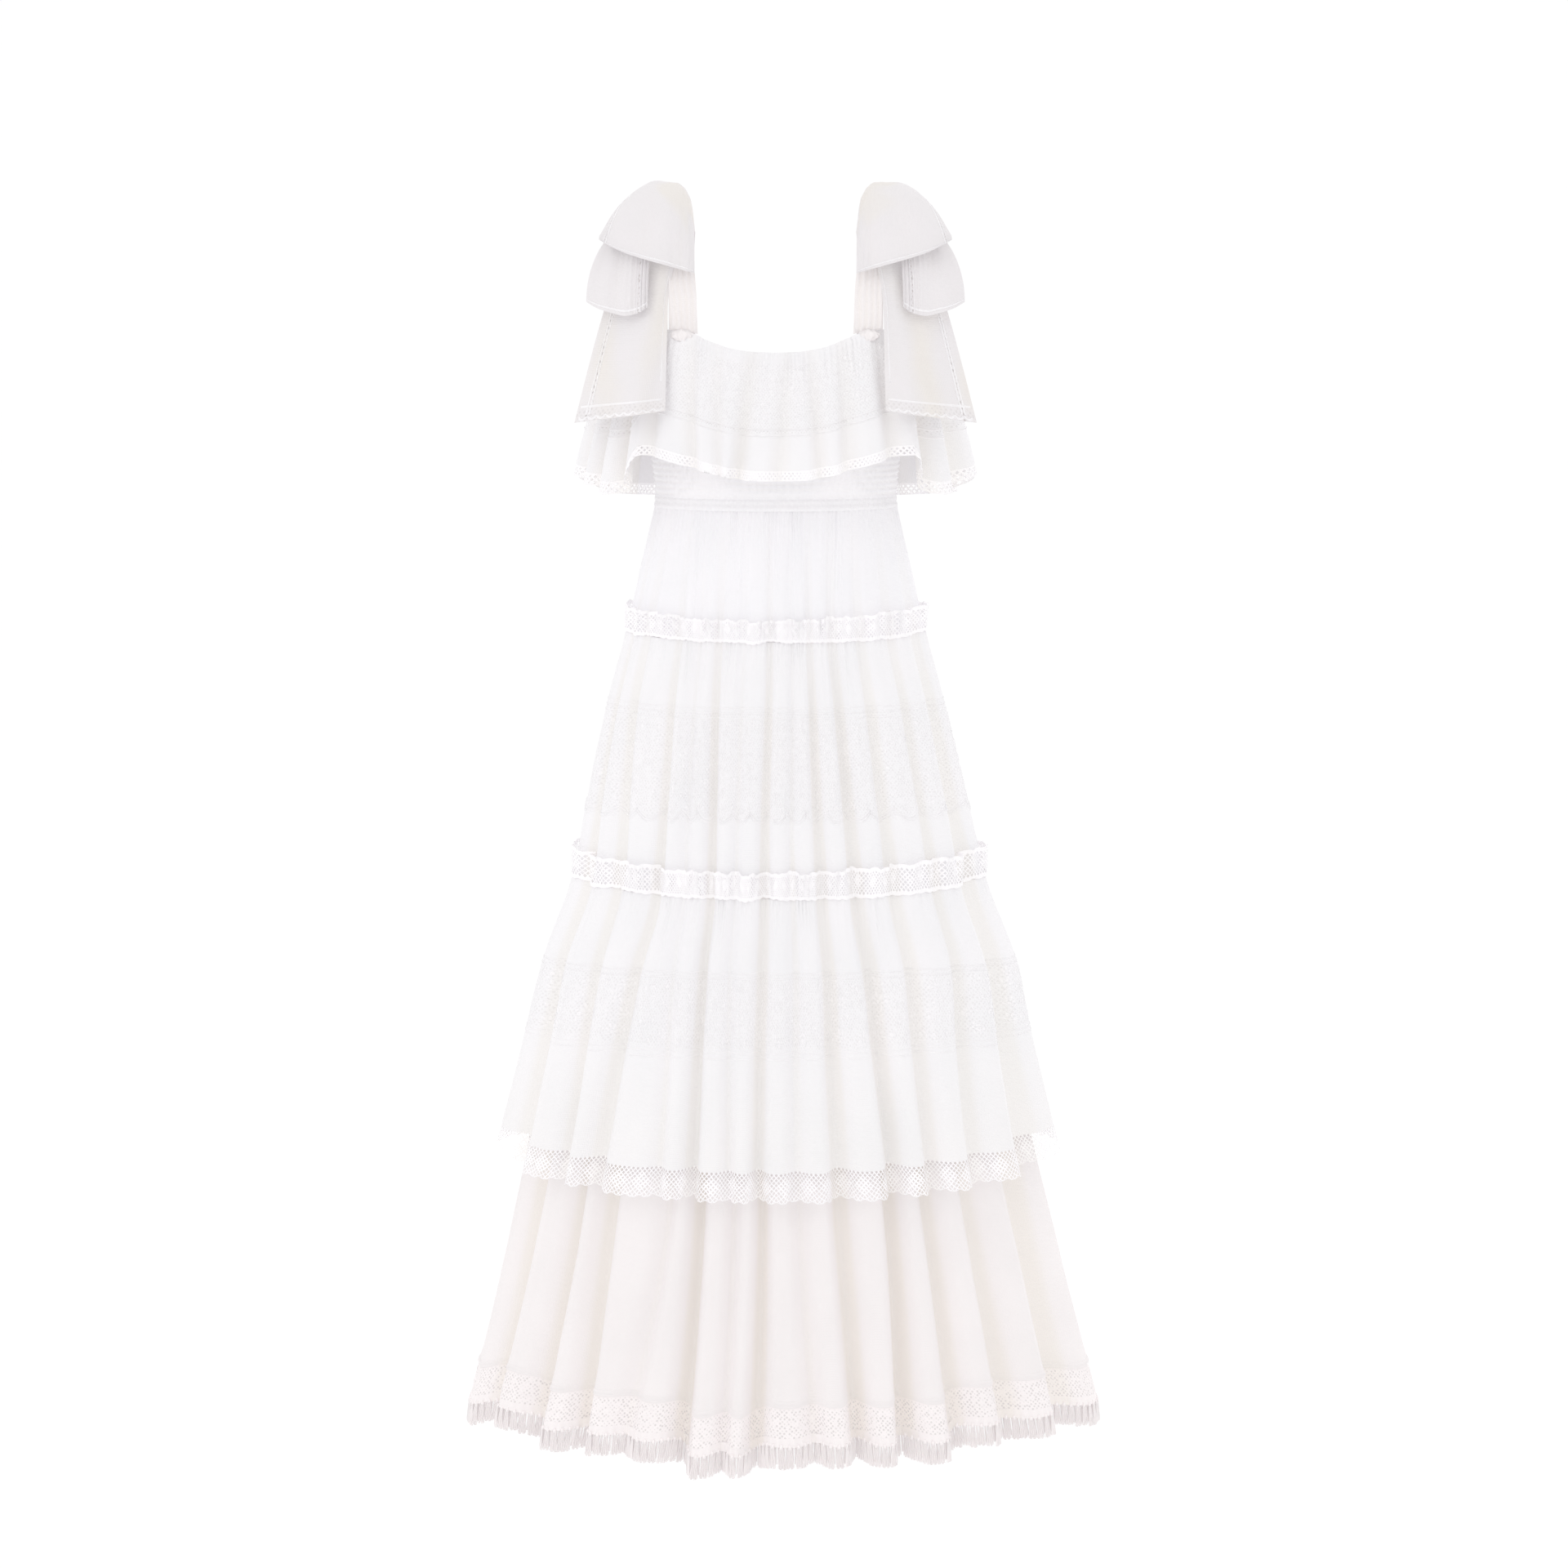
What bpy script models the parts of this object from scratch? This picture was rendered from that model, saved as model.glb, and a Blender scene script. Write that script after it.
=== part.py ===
"""Long white tiered dress with a shoulder flounce, bow-tied straps, lace insertions and a fringed hem.

Lengths are in metres, +Z is up, the front faces -Y, and the origin lies midway between the two
straps where they cross the shoulders. Every piece of cloth is a closed wall of its own.
"""

import math

import bmesh
import bpy
from mathutils import Vector

for old in list(bpy.data.objects):
    bpy.data.objects.remove(old, do_unlink=True)

CLOTH = 0.0015
SEAM_GAP = 0.0003
SLOPED_GAP = 0.0008
SIDE_SEAM = 0.00015
FRONT_FOLDS = 13
FOLDS_ALL_ROUND = 24
LINES_PER_FOLD = 4
GATHER = (1.0, -0.35, -0.65)
SHARPEST = 0.35
LACE_HOLE = 0.007
STRAND_WIDTH = 0.0075

# One row per fold, counted round from the left side seam: the angle of its valley in degrees (0 is
# front centre) at the waist, the first seam, the second seam, the overlay hem and the lowest hem,
# and then its depth beside the others and how far the ridge after it hangs down, in millimetres.
FOLDS = (
    # waist, seam 1, seam 2, overlay, lowest, depth, hang
    (-74, -74, -70, -69, -69, 1.4, -13),
    (-58, -60, -52, -50, -52, 1.0, 2),
    (-44, -40, -36, -41, -40, 1.1, 0),
    (-34, -30, -27, -25, -30, 0.6, 3),
    (-24, -22, -19, -18, -19, 1.4, 18),
    (-13, -12, -12, -10, -11, 0.6, 17),
    (-3, -2, -4, -4, -5, 1.0, 5),
    (6, 6, 4, 4, 6, 0.6, 5),
    (15, 13, 12, 13, 14, 1.1, 7),
    (26, 22, 22, 25, 23, 1.3, 7),
    (38, 34, 34, 34, 34, 1.0, -8),
    (54, 50, 50, 46, 46, 0.9, -8),
    (72, 70, 68, 66, 66, 1.3, 0),
    (106, 107, 106, 107, 105, 0.9, 3),
    (123, 122, 124, 125, 123, 1.1, -2),
    (138, 139, 139, 138, 140, 0.7, 4),
    (151, 150, 152, 153, 151, 1.3, 8),
    (164, 165, 163, 163, 164, 0.7, 0),
    (176, 175, 176, 177, 176, 1.1, 3),
    (188, 188, 187, 186, 188, 0.7, 0),
    (201, 200, 200, 199, 200, 1.3, 10),
    (215, 214, 214, 215, 213, 0.9, 0),
    (231, 232, 230, 231, 231, 1.1, 4),
    (252, 251, 252, 251, 252, 0.8, 0),
)
FOLD_HEIGHTS = (-0.330, -0.472, -0.750, -1.072, -1.388)

# One row per level of the outer skirt: height, half width, half depth in front and at the back,
# depth of a fold, how much higher the level runs at front centre than at the sides, and how far
# its middle lies to the right.
SKIRT = (
    # height, half width, front, back, fold, rise, lean
    (-0.3320, 0.1345, 0.1010, 0.0990, 0.0005, -0.001, 0.0),
    (-0.4000, 0.1510, 0.1130, 0.1120, 0.0030, -0.002, 0.0),
    (-0.4710, 0.1675, 0.1270, 0.1270, 0.0060, -0.003, 0.0),
    (-0.5520, 0.1905, 0.1390, 0.1400, 0.0110, 0.003, 0.0005),
    (-0.6740, 0.2180, 0.1560, 0.1580, 0.0140, 0.006, 0.0020),
    (-0.7490, 0.2335, 0.1670, 0.1690, 0.0120, -0.002, 0.0035),
    (-0.8520, 0.2715, 0.1840, 0.1870, 0.0180, 0.014, 0.0035),
    (-0.9270, 0.2890, 0.1950, 0.1980, 0.0210, 0.006, 0.0020),
    (-1.0370, 0.3165, 0.2120, 0.2160, 0.0260, -0.009, 0.0020),
    (-1.0660, 0.3250, 0.2170, 0.2210, 0.0270, -0.010, 0.0020),
)
# The same columns for the lowest tier, which starts inside the second seam.
UNDERSKIRT_TOP = -0.7420
UNDERSKIRT = (
    (-1.0300, 0.2835, 0.1830, 0.1880, 0.0215, 0.004, 0.0050),
    (-1.3260, 0.3535, 0.2160, 0.2200, 0.0320, 0.022, 0.0078),
    (-1.3640, 0.3640, 0.2210, 0.2250, 0.0340, 0.022, 0.0078),
    (-1.3720, 0.3655, 0.2220, 0.2260, 0.0340, 0.022, 0.0078),
    (-1.3940, 0.3675, 0.2250, 0.2290, 0.0350, 0.024, 0.0078),
)

# One row per fold of the flounce: the angle of its valley at the neckline and at the hem, and depth.
FLOUNCE_FOLDS = (
    # neckline, hem, depth
    (-76, -76, 1.4),
    (-64, -64, 1.6),
    (-53, -52, 1.8),
    (-42, -39, 0.9),
    (-30, -24, 0.9),
    (-20, -16, 0.6),
    (-8, -11, 1.2),
    (4, 1, 0.8),
    (12, 13, 0.9),
    (23, 21, 0.9),
    (37, 36, 1.0),
    (52, 51, 1.8),
    (70, 68, 1.6),
    (106, 107, 1.5),
    (122, 123, 1.3),
    (137, 137, 0.9),
    (150, 151, 1.1),
    (163, 162, 0.8),
    (176, 177, 1.1),
    (189, 188, 0.8),
    (202, 203, 1.1),
    (216, 216, 0.9),
    (232, 231, 1.3),
    (252, 252, 1.5),
)
# One row per angle off front centre: height of the neckline, and of the lace edge of the flounce.
FLOUNCE_EDGES = (
    (0, -0.162, -0.299),
    (8, -0.161, -0.298),
    (16, -0.157, -0.293),
    (24, -0.149, -0.285),
    (30, -0.1415, -0.279),
    (36, -0.1385, -0.274),
    (42, -0.1370, -0.272),
    (48, -0.138, -0.300),
    (56, -0.141, -0.316),
    (66, -0.144, -0.308),
    (78, -0.148, -0.301),
    (90, -0.150, -0.296),
    (110, -0.152, -0.318),
    (140, -0.162, -0.326),
    (160, -0.184, -0.328),
    (180, -0.196, -0.328),
)
NECKLINE = (0.180, 0.112, 0.107)
FLOUNCE_HEM = (0.2255, 0.150, 0.148)

# One row per level of the smocked bodice: height, half width, half depth in front and at the back,
# and how far the shirring stands out.
BODICE = (
    (-0.1500, 0.1750, 0.1070, 0.1000, 0.0),
    (-0.2550, 0.1420, 0.1120, 0.1025, 0.0),
    (-0.2800, 0.1375, 0.1080, 0.1020, 0.0),
    (-0.2870, 0.1365, 0.1065, 0.1012, 0.0012),
    (-0.2940, 0.1360, 0.1055, 0.1005, 0.0),
    (-0.3010, 0.1350, 0.1045, 0.0998, 0.0012),
    (-0.3080, 0.1345, 0.1035, 0.0990, 0.0),
    (-0.3150, 0.1340, 0.1025, 0.0985, 0.0012),
    (-0.3210, 0.1335, 0.1015, 0.0980, 0.0),
)
ARMHOLE_START, ARMHOLE_LOW = 36.0, -0.2380
WAISTBAND = ((-0.3215, 0.1345, 0.1020, 0.0990, 0.0), (-0.3315, 0.1345, 0.1025, 0.1000, 0.0))
BODICE_LINES = 12

# One row per place across the upper loop, inner edge first: where its crest and its front hem lie.
UPPER_LOOP = (
    # crest x, crest z, hem x, hem y, hem z
    (0.0893, -0.030, 0.0873, -0.098, -0.077),
    (0.0938, 0.006, 0.0988, -0.102, -0.074),
    (0.1088, 0.0225, 0.1168, -0.104, -0.069),
    (0.1288, 0.0255, 0.1388, -0.103, -0.063),
    (0.1508, 0.0170, 0.1608, -0.100, -0.056),
    (0.1748, -0.0045, 0.1788, -0.095, -0.048),
    (0.1922, -0.0330, 0.1908, -0.086, -0.041),
)
LOWER_LOOP = (
    (0.1209, 0.0165, 0.1380, -0.097, -0.1130),
    (0.1328, 0.0200, 0.1485, -0.099, -0.1195),
    (0.1450, 0.0150, 0.1630, -0.095, -0.1225),
    (0.1575, 0.0040, 0.1790, -0.092, -0.1190),
    (0.1690, -0.0120, 0.1930, -0.087, -0.1145),
    (0.1770, -0.0320, 0.2055, -0.080, -0.1075),
)
LOOP_STEPS = 3
# One row per place down a tail: distance in front of the shoulder and height of its inner edge,
# the same for its outer edge, and how far the two edges lie from the middle of the dress.
TAIL = (
    # inner y, inner z, outer y, outer z, inner x, outer x, fold
    (-0.0040, 0.0005, -0.0040, 0.0005, 0.0978, 0.1188, 0.000),
    (-0.0160, 0.0003, -0.0150, 0.0003, 0.0978, 0.1218, 0.000),
    (-0.0480, -0.0130, -0.0400, -0.0080, 0.0988, 0.1328, 0.000),
    (-0.0850, -0.0500, -0.0600, -0.0480, 0.1058, 0.1548, 0.001),
    (-0.0920, -0.1150, -0.0640, -0.1120, 0.1168, 0.1858, 0.002),
    (-0.1150, -0.1750, -0.0680, -0.1760, 0.1178, 0.2038, 0.006),
    (-0.1330, -0.2240, -0.0700, -0.2380, 0.1188, 0.2198, 0.009),
)
STRAP = (
    # y, z, middle x, half width; both ends stand on the neckline, whatever z says there
    (-0.0920, -0.1375, 0.0983, 0.0115),
    (-0.0895, -0.1000, 0.0993, 0.0110),
    (-0.0770, -0.0550, 0.1023, 0.0100),
    (-0.0480, -0.0170, 0.1068, 0.0105),
    (-0.0160, -0.0015, 0.1068, 0.0100),
    (0.0160, -0.0015, 0.1068, 0.0100),
    (0.0480, -0.0170, 0.1068, 0.0105),
    (0.0750, -0.0550, 0.1023, 0.0100),
    (0.0850, -0.1000, 0.0993, 0.0110),
    (0.0865, -0.1600, 0.0988, 0.0115),
)
KNOT_MIDDLE = (0.1133, 0.0, 0.0104)
KNOT_SIZE = (0.0085, 0.0130, 0.0100)


def at(table, key, column):
    """Value of a column at a key in the first column, straight between the rows."""
    rows = sorted(table)
    if key <= rows[0][0]:
        return rows[0][column]
    for low, high in zip(rows, rows[1:]):
        if key <= high[0]:
            share = (key - low[0]) / (high[0] - low[0])
            return low[column] + (high[column] - low[column]) * share
    return rows[-1][column]


def from_front(angle):
    """Angle off front centre, 0 to 180."""
    turned = angle % 360
    return min(turned, 360 - turned)


def round_body(angle, half_width, front, back):
    """Point of an oval round the body, with its own depth in front and at the back."""
    turn = math.radians(angle)
    depth = front if math.cos(turn) > 0 else back
    return half_width * math.sin(turn), -depth * math.cos(turn)


def lines_round(valleys, depths):
    """Angle and fold depth of each line of points, from the left side seam all the way round."""
    ridges = [-90.0]
    for index in range(1, len(valleys)):
        ridges.append((valleys[index - 1] + valleys[index]) / 2)
    ridges[FRONT_FOLDS] = 90.0
    ridges.append(270.0)
    lines = []
    for index, valley in enumerate(valleys):
        before, after = ridges[index], ridges[index + 1]
        lines.append((before, 0.0))
        lines.append((before + (valley - before) * 0.52, 0.36 * depths[index]))
        lines.append((valley, depths[index]))
        lines.append((valley + (after - valley) * 0.48, 0.36 * depths[index]))
    lines.append((270.0, 0.0))
    return lines


def skirt_line(height):
    """The lines of points of the skirt at a height, which its folds decide."""
    valleys = []
    for fold in FOLDS:
        steps = [(z, fold[column]) for column, z in enumerate(FOLD_HEIGHTS)]
        valleys.append(at(steps, height, 1))
    return lines_round(valleys, [fold[5] for fold in FOLDS])


# How far each line of points hangs down: a ridge by its row's length, and less towards the valleys.
HANG = [0.0] * (FOLDS_ALL_ROUND * LINES_PER_FOLD + 1)
for fold_index, fold_row in enumerate(FOLDS):
    after_valley = fold_index * LINES_PER_FOLD + 2
    for step, part in enumerate((0.4, 0.9, 1.0, 0.9, 0.4)):
        line_index = (after_valley + step) % (FOLDS_ALL_ROUND * LINES_PER_FOLD)
        HANG[line_index] += part * fold_row[6] / 1000
HANG[-1] = HANG[0]


def skirt_ring(table, height, out=0.0, gathers=0.0, hang=0.0):
    """One row of points all round the skirt at a height of the table, moved out by out."""
    ring = []
    for index, (angle, depth) in enumerate(skirt_line(height)):
        inward = depth * at(table, height, 4)
        outward = out + gathers * GATHER[index % len(GATHER)] - inward
        x, y = round_body(
            angle,
            at(table, height, 1) + outward,
            at(table, height, 2) + outward,
            at(table, height, 3) + outward,
        )
        rise = at(table, height, 5) * max(0.0, math.cos(math.radians(angle)))
        lean = at(table, height, 6)
        ring.append(Vector((x + lean, y, height + rise - hang * HANG[index])))
    return ring


def half_of(ring, front):
    """The front or back half of a ring, drawn in at its ends to leave the side seams open."""
    middle = FRONT_FOLDS * LINES_PER_FOLD
    half = [point.copy() for point in (ring[: middle + 1] if front else ring[middle:])]
    for end in (half[0], half[-1]):
        end.y += -SIDE_SEAM if front else SIDE_SEAM
    return half


def level_outward(row):
    """Level step outwards at each point of a half tube's row that keeps a wall's thickness even."""
    faces = []
    for first, second in zip(row, row[1:]):
        along = (second - first).to_2d().normalized()
        faces.append(Vector((along.y, -along.x)))
    steps = [Vector((math.copysign(1.0, row[0].x), 0.0, 0.0))]
    for before, after in zip(faces, faces[1:]):
        steps.append(((before + after) / max(SHARPEST, 1 + before.dot(after))).to_3d())
    steps.append(Vector((math.copysign(1.0, row[-1].x), 0.0, 0.0)))
    return steps


def against(row, out):
    """A half tube's row laid over it, or inside it when out is below zero."""
    return [point + step * out for point, step in zip(row, level_outward(row))]


def outward_of(rows):
    """Outward direction at each point of a grid whose rows run down and columns run round."""
    result = []
    for r, row in enumerate(rows):
        above, below = rows[max(r - 1, 0)], rows[min(r + 1, len(rows) - 1)]
        found = []
        for c in range(len(row)):
            across = row[min(c + 1, len(row) - 1)] - row[max(c - 1, 0)]
            down = below[c] - above[c]
            found.append(down.cross(across).normalized())
        result.append(found)
    return result


def material_of(name, colour):
    material = bpy.data.materials.get(name)
    if material is None:
        material = bpy.data.materials.new(name)
        material.use_nodes = True
        shader = material.node_tree.nodes["Principled BSDF"]
        shader.inputs["Base Color"].default_value = (*colour, 1.0)
        shader.inputs["Roughness"].default_value = 0.9
    return material


COTTON = ("cotton_voile", (0.88, 0.88, 0.87))
LACE = ("cotton_lace", (0.86, 0.86, 0.84))


def finish(bm, name, look):
    bmesh.ops.recalc_face_normals(bm, faces=bm.faces)
    mesh = bpy.data.meshes.new(name)
    bm.to_mesh(mesh)
    bm.free()
    mesh.materials.append(material_of(*look))
    mesh.shade_smooth()
    piece = bpy.data.objects.new(name, mesh)
    bpy.context.scene.collection.objects.link(piece)
    return piece


def add_wall(bm, rows, relief=None, half_tube=True):
    """Both faces of a wall as vertices: the outer one on the rows, the inner one behind it."""
    normals = [level_outward(row) for row in rows] if half_tube else outward_of(rows)
    outer, inner = [], []
    for r, row in enumerate(rows):
        raised = relief[r] if relief else 0.0
        outer.append([bm.verts.new(p + n * raised) for p, n in zip(row, normals[r])])
        inner.append([bm.verts.new(p - n * CLOTH) for p, n in zip(row, normals[r])])
    return outer, inner


def rim_of(grid):
    """The vertices round the edge of a grid, in order."""
    right = [row[-1] for row in grid[1:-1]]
    left = [row[0] for row in grid[1:-1]]
    return grid[0] + right + grid[-1][::-1] + left[::-1]


def add_edges(bm, outer, inner):
    """The narrow faces round a wall, which close it."""
    first, second = rim_of(outer), rim_of(inner)
    for i in range(len(first)):
        j = (i + 1) % len(first)
        bm.faces.new((first[i], first[j], second[j], second[i]))


def wall(name, rows, look=COTTON, relief=None, half_tube=True):
    """A closed cloth wall whose outer face follows a grid of points."""
    bm = bmesh.new()
    outer, inner = add_wall(bm, rows, relief, half_tube)
    for grid in (outer, inner):
        for above, below in zip(grid, grid[1:]):
            for c in range(len(above) - 1):
                bm.faces.new((above[c], below[c], below[c + 1], above[c + 1]))
    add_edges(bm, outer, inner)
    return finish(bm, name, look)


def tube(name, rings, look=COTTON):
    """Front and back halves of a tube of cloth, each its own closed wall."""
    for side, front in (("front", True), ("back", False)):
        wall(f"{name}_{side}", [half_of(ring, front) for ring in rings], look)


def inner_corner(grid, r, c, across, down):
    """Point inside one cell of a grid, by shares across and down it."""
    top = grid[r][c].co.lerp(grid[r][c + 1].co, across)
    low = grid[r + 1][c].co.lerp(grid[r + 1][c + 1].co, across)
    return top.lerp(low, down)


def pierced_strip(name, rows, look):
    """A lace strip with one hole through each cell that is wide enough for it."""
    bm = bmesh.new()
    outer, inner = add_wall(bm, rows)
    for c in range(len(outer[0]) - 1):
        width = (outer[0][c + 1].co - outer[0][c].co).length
        height = (outer[1][c].co - outer[0][c].co).length
        if width < LACE_HOLE * 2.3:
            for grid in (outer, inner):
                bm.faces.new((grid[0][c], grid[1][c], grid[1][c + 1], grid[0][c + 1]))
            continue
        side = LACE_HOLE / 2 / width
        low, high = 0.5 - side, 0.5 + side
        top, bottom = 1 - (LACE_HOLE + 0.004) / height, 1 - 0.004 / height
        holes = []
        for grid in (outer, inner):
            corners = [grid[0][c], grid[1][c], grid[1][c + 1], grid[0][c + 1]]
            shares = ((low, top), (low, bottom), (high, bottom), (high, top))
            hole = [bm.verts.new(inner_corner(grid, 0, c, *share)) for share in shares]
            for i in range(4):
                j = (i + 1) % 4
                bm.faces.new((corners[i], corners[j], hole[j], hole[i]))
            holes.append(hole)
        for i in range(4):
            j = (i + 1) % 4
            bm.faces.new((holes[0][i], holes[0][j], holes[1][j], holes[1][i]))
    add_edges(bm, outer, inner)
    return finish(bm, name, look)


def fringed_strip(name, rows, tips, look):
    """A narrow strip with two strands hanging from each cell, thinning to their ends."""
    bm = bmesh.new()
    outer, inner = add_wall(bm, rows)
    for grid in (outer, inner):
        grid.append([])
    for c in range(len(outer[0]) - 1):
        width = (outer[1][c + 1].co - outer[1][c].co).length
        share = min(0.32, STRAND_WIDTH / width)
        places = (share, 0.5, 0.5 + share)
        lower = []
        for grid in (outer, inner):
            between = [bm.verts.new(grid[1][c].co.lerp(grid[1][c + 1].co, p)) for p in places]
            line = [grid[1][c]] + between + [grid[1][c + 1]]
            lower.append(line)
            bm.faces.new((grid[0][c], line[0], line[1]))
            bm.faces.new((grid[0][c], line[1], line[2]))
            bm.faces.new((grid[0][c], line[2], grid[0][c + 1]))
            bm.faces.new((grid[0][c + 1], line[2], line[3]))
            bm.faces.new((grid[0][c + 1], line[3], line[4]))
        bm.faces.new((outer[0][c], outer[0][c + 1], inner[0][c + 1], inner[0][c]))
        for start, end in ((1, 2), (3, 4)):
            bm.faces.new((lower[0][start], lower[0][end], lower[1][end], lower[1][start]))
        for start, left, right in ((0, 0.02, share * 1.1), (2, 0.5 - share * 0.1, 0.5 + share)):
            end_left = bm.verts.new(tips[c].lerp(tips[c + 1], left))
            end_right = bm.verts.new(tips[c].lerp(tips[c + 1], right))
            first, last = lower[0][start], lower[0][start + 1]
            back_first, back_last = lower[1][start], lower[1][start + 1]
            bm.faces.new((first, last, end_right, end_left))
            bm.faces.new((back_last, back_first, end_left, end_right))
            bm.faces.new((back_first, first, end_left))
            bm.faces.new((last, back_last, end_right))
    for c in (0, -1):
        bm.faces.new((outer[0][c], outer[1][c], inner[1][c], inner[0][c]))
    return finish(bm, name, look)


# Smocked bodice: two elastic panels, joined at the sides, that rise to the neckline front and back
# and are cut away under the arms.
for side, front in (("front", True), ("back", False)):
    panel = []
    for r, (height, half_width, fore, rear, relief) in enumerate(BODICE):
        row = []
        for c in range(BODICE_LINES + 1):
            angle = -90 + 180 * c / BODICE_LINES + (0 if front else 180)
            off = from_front(angle)
            level = height
            if r == 0:
                reach = off if front else 180 - off
                share = min(1.0, max(0.0, (reach - ARMHOLE_START) / (90 - ARMHOLE_START)))
                top = at(FLOUNCE_EDGES, off, 1) - 0.002
                level = top + (ARMHOLE_LOW - top) * math.sin(share * math.pi / 2)
            x, y = round_body(angle, at(BODICE, level, 1), at(BODICE, level, 2), at(BODICE, level, 3))
            row.append(Vector((x, y, level)))
        for end in (row[0], row[-1]):
            end.y += -SIDE_SEAM if front else SIDE_SEAM
        panel.append(row)
    wall(f"bodice_{side}", panel, relief=[row[4] for row in BODICE])

# Waist casing: a narrow elastic band between the smocking and the skirt.
for side, front in (("front", True), ("back", False)):
    panel = []
    for height, half_width, fore, rear, relief in WAISTBAND:
        row = []
        for c in range(BODICE_LINES + 1):
            angle = -90 + 180 * c / BODICE_LINES + (0 if front else 180)
            row.append(Vector((*round_body(angle, half_width, fore, rear), height)))
        for end in (row[0], row[-1]):
            end.y += -SIDE_SEAM if front else SIDE_SEAM
        panel.append(row)
    wall(f"waist_casing_{side}", panel)

# First tier: gathered into the waist, its ridges easing out towards the seam below.
tube(
    "tier_1",
    [
        skirt_ring(SKIRT, -0.3320, gathers=0.0012),
        skirt_ring(SKIRT, -0.4000, gathers=0.0030),
        skirt_ring(SKIRT, -0.4710),
    ],
)

# Second tier, with a scalloped lace insertion round its middle.
SEAM_1 = -0.4710
SEAM_2 = -0.7490
tube(
    "tier_2",
    [
        skirt_ring(SKIRT, SEAM_1 - SEAM_GAP),
        skirt_ring(SKIRT, -0.5520),
        skirt_ring(SKIRT, -0.6740),
        skirt_ring(SKIRT, SEAM_2),
    ],
)

# Third tier: an overlay that hangs free below its own lace insertion, and the lace along its hem.
OVERLAY_HEM = -1.0370
tube(
    "tier_3",
    [
        skirt_ring(SKIRT, SEAM_2 - SEAM_GAP),
        skirt_ring(SKIRT, -0.8520),
        skirt_ring(SKIRT, -0.9270),
        skirt_ring(SKIRT, OVERLAY_HEM),
    ],
)
tube(
    "tier_3_hem_lace",
    [skirt_ring(SKIRT, OVERLAY_HEM - SEAM_GAP), skirt_ring(SKIRT, -1.0660)],
    LACE,
)

# Fourth tier: sewn inside the second seam, and seen below the overlay.
LACE_TOP, LACE_LOW = -1.3260, -1.3640
for side, front in (("front", True), ("back", False)):
    rows = [against(half_of(skirt_ring(SKIRT, UNDERSKIRT_TOP), front), -CLOTH - SEAM_GAP * 2)]
    rows.append(half_of(skirt_ring(UNDERSKIRT, -1.0300), front))
    rows.append(half_of(skirt_ring(UNDERSKIRT, LACE_TOP, hang=1.0), front))
    wall(f"tier_4_{side}", rows)

# Lace band of the lowest hem, with a row of holes along its foot, and the fringe under it.
for side, front in (("front", True), ("back", False)):
    band = [
        skirt_ring(UNDERSKIRT, LACE_TOP - SLOPED_GAP, hang=1.0),
        skirt_ring(UNDERSKIRT, LACE_LOW, hang=1.0),
    ]
    pierced_strip(f"tier_4_hem_lace_{side}", [half_of(ring, front) for ring in band], LACE)
    strip = [
        skirt_ring(UNDERSKIRT, LACE_LOW - SLOPED_GAP, hang=1.0),
        skirt_ring(UNDERSKIRT, -1.3720, hang=1.0),
    ]
    ends = half_of(skirt_ring(UNDERSKIRT, -1.3940, out=-CLOTH / 2, hang=1.0), front)
    fringed_strip(f"fringe_{side}", [half_of(ring, front) for ring in strip], ends, LACE)

FRILL_OUT, FRILL_WAVE = 0.0052, 0.0030
# Gathered frills: a heading that stands up and out from each of the two skirt seams.
for number, seam, rise in (("1", SEAM_1, 0.029), ("2", SEAM_2, 0.033)):
    flared = skirt_ring(SKIRT, seam + rise, out=FRILL_OUT, gathers=FRILL_WAVE)
    for index, point in enumerate(flared):
        point.z += FRILL_WAVE * GATHER[(index + 1) % len(GATHER)]
    for side, front in (("front", True), ("back", False)):
        foot = against(half_of(skirt_ring(SKIRT, seam), front), CLOTH + SEAM_GAP * 2)
        wall(f"frill_{number}_{side}", [half_of(flared, front), foot], LACE)


# Flounce: one gathered frill off the neckline, round the bust, over both arms and across the back.
def flounce_ring(share, lower=0.0):
    """Points round the flounce at a share of the way from the neckline to its lace edge."""
    valleys = [row[0] + (row[1] - row[0]) * share for row in FLOUNCE_FOLDS]
    ring = []
    for angle, depth in lines_round(valleys, [row[2] for row in FLOUNCE_FOLDS]):
        off = from_front(angle)
        inward = 0.003 + (depth * 0.014 - 0.003) * share if depth else 0.0
        sizes = [n + (h - n) * share ** 0.8 - inward for n, h in zip(NECKLINE, FLOUNCE_HEM)]
        x, y = round_body(angle, *sizes)
        top, low = at(FLOUNCE_EDGES, off, 1), at(FLOUNCE_EDGES, off, 2)
        ring.append(Vector((x, y, top + (low - top) * share - lower)))
    return ring


FLOUNCE_CLOTH_END = 0.92
tube("flounce", [flounce_ring(0.0), flounce_ring(0.5), flounce_ring(FLOUNCE_CLOTH_END)])
tube(
    "flounce_hem_lace",
    [flounce_ring(FLOUNCE_CLOTH_END, SLOPED_GAP), flounce_ring(1.0)],
    LACE,
)


# Straps and bows, made for one shoulder and mirrored to the other.
def draped_loop(table, side):
    """Rows of a loop that falls from its crest over the shoulder, to the front and to the back."""
    rows = []
    for step in range(-LOOP_STEPS, LOOP_STEPS + 1):
        turn = step / LOOP_STEPS * math.pi / 2
        row = []
        for crest_x, crest_z, hem_x, hem_y, hem_z in table:
            share = abs(math.sin(turn)) ** 1.5
            x = crest_x + (hem_x - crest_x) * share
            z = hem_z + (crest_z - hem_z) * math.cos(turn)
            row.append(Vector((side * x, -hem_y * math.sin(turn), z)))
        rows.append(row)
    return rows


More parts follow.
